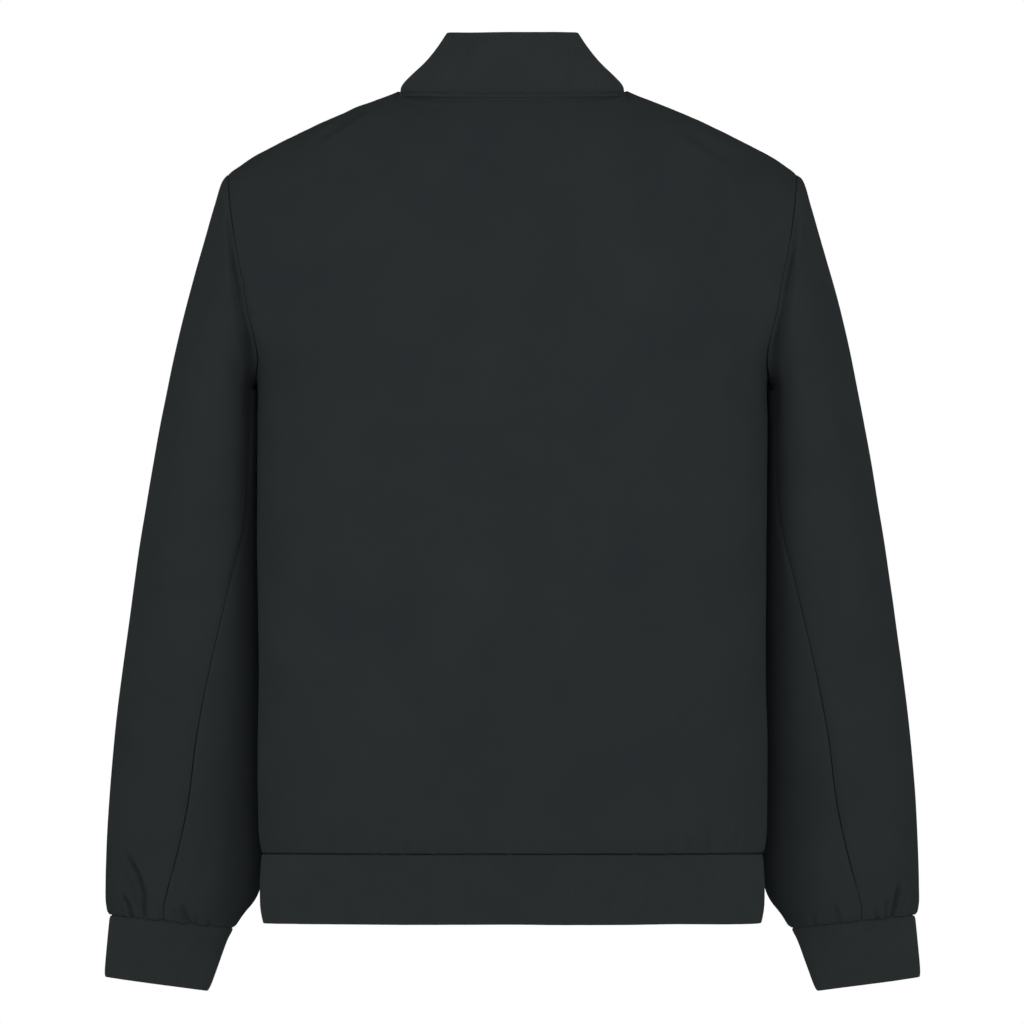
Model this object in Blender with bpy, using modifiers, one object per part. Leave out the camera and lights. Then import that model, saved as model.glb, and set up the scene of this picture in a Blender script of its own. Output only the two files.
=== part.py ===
"""Bomber jacket, filled out with no wearer: rib collar, cuffs and hem on a woven shell, with a closed front zip.

The frame is the jacket's own: +Z up, the front faces -Y, the wearer's left is +X, and the origin is the middle of
the neck at the height of the shoulders' neck points. Tables are in millimetres, and MM turns them to metres.
"""

import math

import bmesh
import bpy
import numpy as np
from mathutils import Matrix, Vector

MM = 0.001

# Walls and gaps
SHELL = 1.2  # woven shell with its seam layers
RIB = 2.4  # doubled rib knit
SEAM_GAP = 0.4  # along a seam, where the walls' inner edges then stand some 0.3 apart
ARMHOLE_GAP = 0.55

# Colours: sRGB shares of the photographed cloth
SHELL_COLOUR = (0.020, 0.023, 0.025, 1.0)
RIB_COLOUR = (0.024, 0.027, 0.029, 1.0)
TAPE_COLOUR = (0.012, 0.013, 0.014, 1.0)
METAL_COLOUR = (0.20, 0.20, 0.21, 1.0)


def table(names, *rows):
    """A short table with named columns."""
    return {name: np.array(column, float) for name, column in zip(names.split(), zip(*rows))}


# The body's sections, from the shoulder blades down. Above the underarm they are cut at the armholes.
BODY = table(
    "z    half_width  back  front  side  seam",
    (-153, 255.0, 117.5, -133.0, -8, -10),
    (-179, 244.0, 118.5, -143.0, -6, -10),
    (-198, 230.5, 119.0, -149.0, -4, -10),
    (-213, 219.5, 119.0, -152.5, -2, -10),
    (-225, 213.0, 119.0, -154.5, 0, -10),
    (-238, 210.6, 118.5, -156.0, 3, -10),
    (-270, 210.7, 117.0, -157.0, 8, -9),
    (-340, 210.2, 113.0, -154.0, 10, -8),
    (-420, 209.4, 109.0, -148.0, 10, -7),
    (-500, 208.9, 106.5, -141.0, 8, -6),
    (-545, 209.9, 106.0, -136.0, 6, -6),
    (-590, 209.6, 103.5, -129.0, 3, -6),
    (-615, 208.9, 98.5, -119.5, 0, -6),
    (-628.5, 206.9, 90.5, -106.5, -2, -6),
)
BACK_SQUARE = 2.5  # how square the body's sections are, where 2 is an ellipse
FRONT_SQUARE = 2.25
BLADES = -153.0  # the widest level of the armhole, at the shoulder blades
UNDERARM = -238.0

HEM = table(
    "z    half_width  back  front  side",
    (-628.8, 206.6, 89.6, -105.2, -2),
    (-658, 208.2, 88.0, -101.8, -2),
    (-676, 207.4, 87.4, -101.0, -2),
    (-685.8, 205.3, 86.4, -99.8, -2),
)

# The neck seam, the shoulder seam and the armhole
NECK = {"half_width": 93.0, "back": 68.0, "side": -8.0, "front": -86.0, "z_back": -1.2, "z_side": 0.8, "z_front": -82.0}
NECK_SQUARE = 2.15
NECK_SHARE = 0.36  # of the way across a panel's top edge
SHOULDER = table(
    "x    z      y",
    (93.0, 0.8, -8.0),
    (102.0, -2.2, -8.3),
    (113.5, -6.6, -8.6),
    (146.7, -20.0, -9.6),
    (188.2, -39.6, -10.8),
    (220.0, -56.6, -11.6),
    (235.0, -67.8, -12.0),
)
ARMHOLE = {"middle": -10.0, "half_depth": 78.0}
SLEEVE_HEAD = 6.0  # the first stretch of the sleeve, square to the armhole
HEAD_DIRECTIONS = table("turn x     z", (0, 0.62, -0.78), (60, 0.90, -0.44), (120, 0.96, -0.28), (180, 0.94, -0.34))

# Which way each panel runs from its top edge, at shares across it from the middle to the armhole
LEAVING = table(
    "share x      back  back_z  front  front_z",
    (0.00, 0.00, 0.74, -0.67, -0.56, -0.83),
    (0.12, 0.06, 0.78, -0.60, -0.62, -0.78),
    (0.24, 0.13, 0.88, -0.38, -0.78, -0.56),
    (0.36, 0.18, 0.96, -0.12, -0.96, -0.14),
    (0.52, 0.06, 1.00, -0.03, -1.00, -0.03),
    (0.75, 0.00, 1.00, 0.00, -1.00, 0.00),
    (1.00, 0.00, 1.00, 0.00, -1.00, 0.00),
)
EDGE_PULL = 6  # how close to the armhole the panel's columns bend to follow it
SHOULDER_REACH = 1.15  # how far the round over the shoulder carries, in chords

# Soft lobes that stand out of the filled back: middle, half spread and height of each
LOBES = table(
    "x     z     spread_x  spread_z  height",
    (118, -275, 62, 120, 3.5),
    (-102, -330, 66, 190, 4.0),
    (185, -400, 22, 110, 1.5),
    (-188, -400, 20, 110, 1.5),
    (0, -590, 60, 60, -1.5),
)

# Sleeve rings: the outer and inner points, the ring's middle and half its depth, from the sleeve head to the cuff
SLEEVE = table(
    "outer_x outer_z inner_x inner_z  middle half_depth  back_seam",
    (246.0, -94.0, 219.8, -244.5, -12.5, 79.0, 150),
    (254.6, -124.0, 221.0, -251.0, -15.0, 80.5, 150),
    (265.8, -164.0, 220.0, -260.5, -18.5, 81.0, 150),
    (276.6, -208.0, 217.0, -276.5, -23.5, 80.0, 150),
    (287.0, -257.0, 214.2, -301.5, -29.0, 78.0, 150),
    (298.8, -320.0, 211.8, -347.0, -36.0, 74.0, 143),
    (309.4, -386.0, 210.0, -407.0, -43.0, 69.0, 123),
    (319.0, -452.0, 209.0, -470.0, -50.0, 64.0, 108),
    (327.6, -518.0, 208.5, -534.0, -57.0, 59.0, 98),
    (333.7, -584.0, 208.0, -599.0, -64.0, 53.5, 92),
    (336.2, -630.0, 208.3, -645.0, -69.0, 48.0, 88),
    (336.5, -655.0, 211.5, -667.0, -72.0, 43.5, 86),
    (336.3, -671.0, 220.5, -682.0, -74.5, 38.5, 85),
    (332.3, -680.2, 230.6, -691.6, -76.0, 33.2, 85),
)
FRONT_SEAM = 240.0  # degrees round the sleeve from its outer side, over the back
SLEEVE_SQUARE = 2.2

CUFF = table(
    "outer_x outer_z inner_x inner_z  middle half_depth",
    (332.2, -680.6, 231.0, -692.1, -76.0, 32.8),
    (334.6, -692.0, 236.5, -702.0, -77.4, 30.5),
    (336.6, -712.0, 244.0, -722.5, -79.8, 28.4),
    (337.8, -727.0, 250.2, -739.0, -81.8, 27.2),
    (336.9, -732.0, 253.6, -743.2, -82.4, 26.4),
)

COLLAR = table(
    "rise half_width  back  front  side  z_back  z_side  z_front",
    (0.00, 93.0, 68.0, -86.0, -8.0, -1.0, 1.0, -81.7),
    (0.12, 90.6, 66.8, -86.8, -9.0, 5.0, 6.4, -76.0),
    (0.27, 85.0, 64.8, -87.8, -11.0, 12.4, 12.6, -69.0),
    (0.50, 72.0, 60.0, -89.6, -15.0, 24.4, 25.0, -58.5),
    (0.75, 61.6, 54.0, -91.4, -19.0, 37.0, 37.8, -46.5),
    (0.93, 55.6, 50.0, -92.6, -21.5, 46.0, 46.8, -38.0),
    (1.00, 53.8, 48.6, -93.0, -22.0, 48.7, 49.5, -35.5),
)

COLLAR_END = 0.012  # radians from the middle of the front to each end of the collar

# Front zip, in its own frame: x across, y out of the tape's middle plane, z down along the tape
ZIP_OPENING = 5.5  # from the middle to each front's edge
TAPE = {"inner_edge": 1.2, "outer_edge": 16.0, "thick": 0.9, "top": 0.06}
FRONT_INSET = SHELL + SEAM_GAP  # from a front's outside to the tape behind it
HEM_INSET = RIB + 2 * SEAM_GAP
SLIDER = {"z": -112.0, "width": 9.0, "length": 13.0, "plate": 1.2, "room": 3.0, "bevel": 0.35}
BRIDGE = {"width": 1.5, "length": 3.5}
CROWN = {"width": 2.0, "length": 7.0, "hole_length": 3.4, "hole_height": 2.2, "thick": 1.2}
PULL = {"width": 6.4, "length": 34.0, "thick": 1.1, "eye_width": 3.0, "eye_length": 4.2, "lean": 2.0, "bevel": 0.2}
BOX = {"z": -677.0, "width": 7.0, "length": 9.0, "thick": 2.2, "bevel": 0.4}
BOOLEAN_LAP = 0.5  # how far joined blocks run into each other

# How finely each piece is divided. Pieces that share a seam share its points.
NECK_COLUMNS = 4
SHOULDER_COLUMNS = 6
QUARTER_ROWS = 6  # in each quarter of the armhole
BODY_LEVELS = (-238, -252, -275, -310, -360, -420, -485, -545, -590, -614, -628.5)
TOP_SLEEVE_COLUMNS = 16
UNDER_SLEEVE_COLUMNS = 6
SLEEVE_ROWS = 13
CUFF_COLUMNS = 24
HEM_COLUMNS = 38
YOKE_STRIP = 0.015  # a narrow row beside the shoulder seam
SEAM_STRIP = 2.0  # degrees, a narrow column beside a sleeve seam


def follow(keys, values, where):
    """A smooth curve through the values at the keys, read at where; keys rise."""
    where = min(max(where, keys[0]), keys[-1])
    steps = np.diff(keys)
    slopes = np.diff(values) / steps
    ends = np.empty(len(keys))
    ends[1:-1] = (slopes[:-1] * steps[1:] + slopes[1:] * steps[:-1]) / (steps[1:] + steps[:-1])
    ends[0] = 1.5 * slopes[0] - 0.5 * ends[1]
    ends[-1] = 1.5 * slopes[-1] - 0.5 * ends[-2]
    i = min(int(np.searchsorted(keys, where, side="right")) - 1, len(steps) - 1)
    t = (where - keys[i]) / steps[i]
    start = (1 + 2 * t) * (1 - t) ** 2 * values[i] + t * (1 - t) ** 2 * steps[i] * ends[i]
    finish = t * t * (3 - 2 * t) * values[i + 1] + t * t * (t - 1) * steps[i] * ends[i + 1]
    return float(start + finish)


def row_at(rows, key, where):
    """Every column of a table where its key column has one value."""
    keys = rows[key]
    if keys[0] > keys[-1]:
        return {name: follow(-keys, column, -where) for name, column in rows.items()}
    return {name: follow(keys, column, where) for name, column in rows.items()}


def round_square(angle, square):
    """How far a rounded square of unit half width reaches at an angle."""
    reach = abs(math.cos(angle)) ** square + abs(math.sin(angle)) ** square
    return reach ** (-1 / square)


def section(rows, z, angle):
    """A point of a body section: angle 0 is the middle of the back, pi the middle of the front."""
    row = row_at(rows, "z", z)
    square = BACK_SQUARE if angle < math.pi / 2 else FRONT_SQUARE
    deep = row["back"] - row["side"] if angle < math.pi / 2 else row["side"] - row["front"]
    reach = round_square(angle, square)
    x = row["half_width"] * reach * math.sin(angle)
    return np.array((x, row["side"] + deep * reach * math.cos(angle), z))


def edge_angle(z, y):
    """The angle at which a body section passes one y, which is where a panel ends."""
    row = row_at(BODY, "z", z)
    back = y > row["side"]
    square = BACK_SQUARE if back else FRONT_SQUARE
    deep = row["back"] - row["side"] if back else row["side"] - row["front"]
    share = abs(y - row["side"]) / deep
    angle = math.atan2((1 - share**square) ** (1 / square), share)
    return angle if back else math.pi - angle


def panel_edge(z, side):
    """The angle of the armhole above the underarm, and of the side seam below it."""
    if z <= UNDERARM:
        return edge_angle(z, row_at(BODY, "z", z)["seam"])
    drop = min(1.0, (BLADES - z) / (BLADES - UNDERARM))
    return edge_angle(z, ARMHOLE["middle"] + side * ARMHOLE["half_depth"] * math.sqrt(1 - drop * drop))


def body_point(share, z, side):
    """A point of the back (side 1) or a front (side -1), share across from the middle, below the blades."""
    def reach(level):
        return panel_edge(level, side) if side > 0 else math.pi - panel_edge(level, side)

    drop = min(1.0, (BLADES - z) / (BLADES - UNDERARM))
    calm = reach(BLADES) + (reach(UNDERARM) - reach(BLADES)) * drop * drop * (3 - 2 * drop)
    if z < UNDERARM:
        calm = reach(z)
    angle = share * calm + share**EDGE_PULL * (reach(z) - calm)
    return section(BODY, z, angle if side > 0 else math.pi - angle)


def neck_point(angle):
    """A point of the neck seam: angle 0 is the middle of the back, pi the middle of the front."""
    reach = round_square(angle, NECK_SQUARE)
    end = NECK["back"] if angle < math.pi / 2 else NECK["front"]
    y = NECK["side"] + abs(end - NECK["side"]) * reach * math.cos(angle)
    rise = abs(math.cos(angle)) ** 1.7
    z = NECK["z_side"] + rise * ((NECK["z_back"] if angle < math.pi / 2 else NECK["z_front"]) - NECK["z_side"])
    return np.array((NECK["half_width"] * reach * math.sin(angle), y, z))


def top_edge(share, side):
    """A point of a panel's top edge: the neck seam, then the shoulder seam."""
    if share < NECK_SHARE:
        angle = 0.5 * math.pi * share / NECK_SHARE
        return neck_point(angle if side > 0 else math.pi - angle)
    along = (share - NECK_SHARE) / (1 - NECK_SHARE)
    row = row_at(SHOULDER, "x", SHOULDER["x"][0] + along * (SHOULDER["x"][-1] - SHOULDER["x"][0]))
    return np.array((row["x"], row["y"], row["z"]))


def yoke_point(share, down, side):
    """A point between the top edge (down 0) and the blades (down 1), rounded over the shoulder."""
    top = top_edge(share, side)
    low = body_point(share, BLADES, side)
    row = row_at(LEAVING, "share", share)
    away = "back" if side > 0 else "front"
    leave = np.array((row["x"], row[away], row[away + "_z"]))
    arrive = body_point(share, BLADES - 1, side) - low
    size = SHOULDER_REACH * np.linalg.norm(low - top)
    leave *= size / np.linalg.norm(leave)
    arrive *= size / np.linalg.norm(arrive)
    t, u = down, 1 - down
    return (1 + 2 * t) * u * u * top + t * u * u * leave + t * t * (3 - 2 * t) * low - t * t * u * arrive


def lobed(point, side):
    """A body point with the back's soft lobes on it."""
    if side < 0:
        return point
    moved = point.copy()
    for x, z, wide, tall, height in zip(*LOBES.values()):
        away = ((point[0] - x) / wide) ** 2 + ((point[2] - z) / tall) ** 2
        moved[1] += height * math.exp(-away)
    return moved


def panel_point(share, level, side, hand):
    """A point of a panel at a level of panel_levels, on the wearer's left (hand 1) or right (-1)."""
    kind, value = level
    point = yoke_point(share, value, side) if kind == "yoke" else body_point(share, value, side)
    point[0] *= hand
    return lobed(point, side)


def panel_levels():
    """The rows of a body panel: over the shoulder, round the armhole's lower half, and down to the hem."""
    levels = [("yoke", 0), ("yoke", YOKE_STRIP)] + [("yoke", i / QUARTER_ROWS) for i in range(1, QUARTER_ROWS)]
    for i in range(QUARTER_ROWS):
        levels.append(("body", BLADES + (UNDERARM - BLADES) * math.sin(0.5 * math.pi * i / QUARTER_ROWS)))
    return levels + [("body", z) for z in BODY_LEVELS]


def armhole_point(turn):
    """A point of the armhole: turn 0 is the shoulder, then the back, the underarm and the front."""
    turn %= 360
    side = 1 if turn <= 180 else -1
    quarter = turn / 90 if turn <= 180 else (360 - turn) / 90
    if quarter < 1:
        return yoke_point(1.0, quarter, side)
    z = BLADES + (UNDERARM - BLADES) * math.sin(0.5 * math.pi * (quarter - 1))
    return body_point(1.0, z, side)


def ring_point(row, turn, square):
    """A point of a sleeve or cuff ring: turn 0 is its outer side, then the back, the inner side and the front."""
    outer = np.array((row["outer_x"], row["middle"], row["outer_z"]))
    inner = np.array((row["inner_x"], row["middle"], row["inner_z"]))
    angle = math.radians(turn)
    reach = round_square(angle, square)
    deep = np.array((0, row["half_depth"], 0))
    return (outer + inner) / 2 + reach * (math.cos(angle) * (outer - inner) / 2 + math.sin(angle) * deep)


def head_point(turn):
    """A point of the sleeve just outside the armhole."""
    way = row_at(HEAD_DIRECTIONS, "turn", min(turn % 360, 360 - turn % 360))
    return armhole_point(turn) + SLEEVE_HEAD * np.array((way["x"], 0, way["z"]))


def sleeve_lengths():
    """How far each sleeve ring lies down the sleeve, the armhole first."""
    middles = [(armhole_point(0) + armhole_point(180)) / 2, (head_point(0) + head_point(180)) / 2]
    for i in range(len(SLEEVE["outer_x"])):
        x = (SLEEVE["outer_x"][i] + SLEEVE["inner_x"][i]) / 2
        z = (SLEEVE["outer_z"][i] + SLEEVE["inner_z"][i]) / 2
        middles.append(np.array((x, SLEEVE["middle"][i], z)))
    steps = [np.linalg.norm(b - a) for a, b in zip(middles, middles[1:])]
    return np.concatenate(([0], np.cumsum(steps)))


def sleeve_point(turn, down, lengths):
    """A point of the left sleeve, down being the share of its length."""
    points = [armhole_point(turn), head_point(turn)]
    for i in range(len(SLEEVE["outer_x"])):
        row = {name: column[i] for name, column in SLEEVE.items()}
        points.append(ring_point(row, turn, SLEEVE_SQUARE))
    points = np.array(points)
    where = down * lengths[-1]
    return np.array([follow(lengths, points[:, axis], where) for axis in range(3)])


def back_seam(down, lengths):
    """How far round the sleeve its back seam lies."""
    turns = np.concatenate((SLEEVE["back_seam"][:1], SLEEVE["back_seam"][:1], SLEEVE["back_seam"]))
    return follow(lengths, turns, down * lengths[-1])


def shorten(grid, top=0.0, bottom=0.0, left=0.0, right=0.0):
    """Pulls a grid's edges in by small lengths, which leaves the seam gaps."""

    def pull(line, inner, size):
        away = inner - line
        return line + away * (size / np.linalg.norm(away, axis=-1, keepdims=True))

    out = grid.copy()
    if top:
        out[0] = pull(out[0], out[1], top)
    if bottom:
        out[-1] = pull(out[-1], out[-2], bottom)
    if left:
        out[:, 0] = pull(out[:, 0], out[:, 1], left)
    if right:
        out[:, -1] = pull(out[:, -1], out[:, -2], right)
    return out


def material(name, colour, rough, metallic=0.0):
    """A Principled material of one sub-part."""
    made = bpy.data.materials.new(name)
    made.use_nodes = True
    shader = made.node_tree.nodes["Principled BSDF"]
    shader.inputs["Base Color"].default_value = colour
    shader.inputs["Roughness"].default_value = rough
    shader.inputs["Metallic"].default_value = metallic
    return made


def new_object(name, mesh, collection, colour, rough, metallic=0.0):
    """An object with its own material, in a collection."""
    made = bpy.data.objects.new(name, mesh)
    collection.objects.link(made)
    mesh.materials.append(material(name + "_finish", colour, rough, metallic))
    mesh.shade_smooth()
    mesh.set_sharp_from_angle(angle=math.radians(40))
    return made


def cloth(name, grid, thick, collection, colour, closed=False):
    """One cloth piece: a lofted open surface with Solidify, its outside up to date with the grid."""
    rows, columns = grid.shape[:2]
    shape = bmesh.new()
    verts = [[shape.verts.new([float(c) * MM for c in grid[r, c_]]) for c_ in range(columns)] for r in range(rows)]
    last = columns if closed else columns - 1
    for r in range(rows - 1):
        for c in range(last):
            d = (c + 1) % columns
            shape.faces.new((verts[r][c], verts[r][d], verts[r + 1][d], verts[r + 1][c]))
    mesh = bpy.data.meshes.new(name)
    shape.to_mesh(mesh)
    shape.free()
    made = new_object(name, mesh, collection, colour, 0.7)
    wall = made.modifiers.new("wall", "SOLIDIFY")
    wall.thickness = thick * MM
    wall.offset = -1
    return made


def panel_shares():
    """The columns of half a panel: along the neck seam, then along the shoulder."""
    neck = [NECK_SHARE * i / NECK_COLUMNS for i in range(NECK_COLUMNS)]
    shoulder = [NECK_SHARE + (1 - NECK_SHARE) * i / SHOULDER_COLUMNS for i in range(SHOULDER_COLUMNS + 1)]
    return neck + shoulder


def make_back(collection):
    """The back, in one piece across."""
    half_shares = panel_shares()
    shares = [-s for s in half_shares[:0:-1]] + half_shares
    grid = []
    for level in panel_levels():
        grid.append([panel_point(abs(s), level, 1, 1 if s >= 0 else -1) for s in shares])
    half = SEAM_GAP / 2
    cloth("back", shorten(np.array(grid), half, half, half, half), SHELL, collection, SHELL_COLOUR)


def share_at(x, level, side):
    """The share across a panel at which it passes one x near the middle."""
    probe = 0.05
    return probe * x / panel_point(probe, level, side, 1)[0]


def make_fronts(collection):
    """Both fronts, each from the zip to the armhole and side seam."""
    half = SEAM_GAP / 2
    for hand, name in ((1, "front_left"), (-1, "front_right")):
        rows = []
        for level in panel_levels():
            shares = [share_at(ZIP_OPENING, level, -1)] + panel_shares()[1:]
            rows.append([panel_point(s, level, -1, hand) for s in shares])
        grid = shorten(np.array(rows), half, half, 0, half)
        cloth(name, grid if hand < 0 else grid[:, ::-1], SHELL, collection, SHELL_COLOUR)


def mirrored(grid):
    """The same grid on the wearer's right, with its faces still outwards."""
    return (grid * np.array((-1, 1, 1)))[:, ::-1]


def between_seams(first, last, count):
    """Turns from seam to seam, with one more close to each seam, so that both cut edges stand alike."""
    turns = [first + (last - first) * i / count for i in range(count + 1)]
    return [turns[0], turns[0] + SEAM_STRIP] + turns[1:-1] + [turns[-1] - SEAM_STRIP, turns[-1]]


def make_sleeves(collection):
    """Both sleeves, each of a top and an under piece."""
    lengths = sleeve_lengths()
    half = SEAM_GAP / 2
    head = SLEEVE_HEAD / lengths[-1]
    rows = [0] + [head + (1 - head) * i / SLEEVE_ROWS for i in range(SLEEVE_ROWS + 1)]
    top, under = [], []
    for down in rows:
        seam = back_seam(down, lengths)
        turns = between_seams(FRONT_SEAM - 360, seam, TOP_SLEEVE_COLUMNS)
        top.append([sleeve_point(turn, down, lengths) for turn in turns])
        turns = between_seams(seam, FRONT_SEAM, UNDER_SLEEVE_COLUMNS)
        under.append([sleeve_point(turn, down, lengths) for turn in turns])
    for piece, grid in (("top", np.array(top)), ("under", np.array(under))):
        grid = shorten(grid, ARMHOLE_GAP, half, half, half)[:, ::-1]
        cloth("sleeve_left_" + piece, grid, SHELL, collection, SHELL_COLOUR)
        cloth("sleeve_right_" + piece, mirrored(grid), SHELL, collection, SHELL_COLOUR)


def make_cuffs(collection):
    """Both rib cuffs."""
    turns = [-360 * i / CUFF_COLUMNS for i in range(CUFF_COLUMNS)]
    rows = [{name: column[i] for name, column in CUFF.items()} for i in range(len(CUFF["middle"]))]
    grid = np.array([[ring_point(row, turn, SLEEVE_SQUARE) for turn in turns] for row in rows])
    cloth("cuff_left", grid, RIB, collection, RIB_COLOUR, closed=True)
    cloth("cuff_right", mirrored(grid), RIB, collection, RIB_COLOUR, closed=True)


def collar_point(rise, angle):
    """A point of the collar: angle 0 is the middle of the back, pi the middle of the front."""
    row = row_at(COLLAR, "rise", rise)
    reach = round_square(angle, NECK_SQUARE)
    back = angle < math.pi / 2
    y = row["side"] + abs((row["back"] if back else row["front"]) - row["side"]) * reach * math.cos(angle)
    share = abs(math.cos(angle)) ** 1.7
    z = row["z_side"] + share * ((row["z_back"] if back else row["z_front"]) - row["z_side"])
    return np.array((row["half_width"] * reach * math.sin(angle), y, z))


def make_collar(collection):
    """The rib collar, whose ends stand against each other over the zip."""
    step = 0.5 * math.pi / NECK_COLUMNS
    half_angles = [step * i for i in range(2 * NECK_COLUMNS)] + [math.pi - COLLAR_END]
    angles = [-a for a in half_angles[:0:-1]] + half_angles
    grid = []
    for rise in COLLAR["rise"][::-1]:  # from the top down, as on every other piece
        line = [collar_point(rise, abs(a)) * np.array((1 if a >= 0 else -1, 1, 1)) for a in angles]
        grid.append(line)
    cloth("collar", np.array(grid), RIB, collection, RIB_COLOUR)


def make_hem(collection):
    """The rib hem band, open at the zip."""
    grid = []
    for z in HEM["z"]:
        row = row_at(HEM, "z", z)
        end = math.pi - math.atan2(ZIP_OPENING / row["half_width"], 1)
        angles = np.linspace(-end, end, HEM_COLUMNS + 1)
        grid.append([section(HEM, z, abs(a)) * np.array((1 if a >= 0 else -1, 1, 1)) for a in angles])
    cloth("hem_band", np.array(grid), RIB, collection, RIB_COLOUR)


def front_middle(z):
    """The middle of the front at one height, with the directions out of it and down it."""
    if z > BLADES:
        low, high = 0.0, 1.0
        for _ in range(30):
            half = (low + high) / 2
            low, high = (half, high) if yoke_point(0, half, -1)[2] > z else (low, half)
        point, next_point = yoke_point(0, low, -1), yoke_point(0, low + 0.01, -1)
    elif z > BODY["z"][-1]:
        point, next_point = body_point(0, z, -1), body_point(0, z - 0.5, -1)
    else:
        point, next_point = section(HEM, z, math.pi), section(HEM, z - 0.5, math.pi)
    down = (next_point - point) / np.linalg.norm(next_point - point)
    return point, np.cross(down, (1, 0, 0)), down


def tape_rows():
    """Points of a tape's outer face, laid on the inside of the fronts and then of the hem band."""
    edges = (TAPE["inner_edge"], TAPE["outer_edge"])
    rows, insets = [], []
    for level in [("yoke", TAPE["top"])] + panel_levels()[2:-1]:
        rows.append([panel_point(share_at(x, level, -1), level, -1, 1) for x in edges])
        insets.append(FRONT_INSET)
    for z in HEM["z"]:
        rows.append([section(HEM, z, math.pi - x / HEM["half_width"][0]) for x in edges])
        insets.append(HEM_INSET)
    rows = np.array(rows)
    out = np.cross(np.gradient(rows, axis=0), np.gradient(rows, axis=1))
    out /= np.linalg.norm(out, axis=-1, keepdims=True)
    return rows - out * np.array(insets)[:, None, None]


def make_tapes(collection):
    """Both zip tapes, one inside each front."""
    grid = tape_rows()
    cloth("zip_tape_left", grid[:, ::-1], TAPE["thick"], collection, TAPE_COLOUR)
    cloth("zip_tape_right", mirrored(grid[:, ::-1]), TAPE["thick"], collection, TAPE_COLOUR)


def zip_frame(z, inset):
    """The zip's own frame at one height: its origin in the tape's middle plane."""
    point, out, down = front_middle(z)
    place = (point - out * (inset + TAPE["thick"] / 2)) * MM
    turned = Matrix(((1, out[0], down[0]), (0, out[1], down[1]), (0, out[2], down[2]))).to_4x4()
    return Matrix.Translation(place) @ turned


def block(name, size, middle, frame, collection, colour, rough):
    """A block in the zip's frame, its sizes and middle in millimetres."""
    shape = bmesh.new()
    bmesh.ops.create_cube(shape, size=1)
    bmesh.ops.scale(shape, vec=Vector(size) * MM, verts=shape.verts)
    bmesh.ops.translate(shape, vec=Vector(middle) * MM, verts=shape.verts)
    mesh = bpy.data.meshes.new(name)
    shape.to_mesh(mesh)
    shape.free()
    made = new_object(name, mesh, collection, colour, rough, 1.0)
    made.matrix_world = frame
    return made


def cut_with(target, tool, operation):
    """One exact Boolean, whose tool is left out of the build."""
    tool.hide_render = True
    tool.display_type = "WIRE"
    step = target.modifiers.new(tool.name, "BOOLEAN")
    step.operation = operation
    step.solver = "EXACT"
    step.object = tool


def round_edges(target, size):
    """A small bevel on every edge."""
    edge = target.modifiers.new("edges", "BEVEL")
    edge.width = size * MM
    edge.segments = 2


def make_slider(collection, cutters):
    """The slider: two plates round the tapes, joined by a bridge between them, and a crown for the pull tab."""
    frame = zip_frame(SLIDER["z"], FRONT_INSET)
    depth = (SLIDER["room"] + SLIDER["plate"]) / 2
    top = SLIDER["room"] / 2 + SLIDER["plate"]
    lap = BOOLEAN_LAP
    plate = (SLIDER["width"], SLIDER["plate"], SLIDER["length"])
    bridge = (BRIDGE["width"], SLIDER["room"] + 2 * lap, BRIDGE["length"])
    bridge_z = (BRIDGE["length"] - SLIDER["length"]) / 2 + lap
    crown_height = CROWN["hole_height"] + CROWN["thick"]
    crown = (CROWN["width"], crown_height + lap, CROWN["length"])
    hole = (2 * CROWN["width"], CROWN["hole_height"], CROWN["hole_length"])
    slider = block("zip_slider", plate, (0, depth, 0), frame, collection, METAL_COLOUR, 0.35)
    round_edges(slider, SLIDER["bevel"])
    tools = (
        ("rear_plate", plate, (0, -depth, 0), "UNION"),
        ("bridge", bridge, (0, 0, bridge_z), "UNION"),
        ("crown", crown, (0, top + (crown_height - lap) / 2, 0), "UNION"),
        ("crown_hole", hole, (0, top + CROWN["hole_height"] / 2, 0), "DIFFERENCE"),
    )
    for name, size, middle, operation in tools:
        tool = block(name, size, middle, frame, cutters, METAL_COLOUR, 0.35)
        if name in ("rear_plate", "crown"):
            round_edges(tool, SLIDER["bevel"])
        cut_with(slider, tool, operation)


def rounded_outline(width, length, start, corner, steps=6):
    """A rectangle with round corners, down from start."""
    points = []
    middles = (
        (width / 2 - corner, start + length - corner, 0),
        (corner - width / 2, start + length - corner, 90),
        (corner - width / 2, start + corner, 180),
        (width / 2 - corner, start + corner, 270),
    )
    for x, z, first in middles:
        for i in range(steps + 1):
            turn = math.radians(first + 90 * i / steps)
            points.append((x + corner * math.cos(turn), z + corner * math.sin(turn)))
    return points


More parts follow.
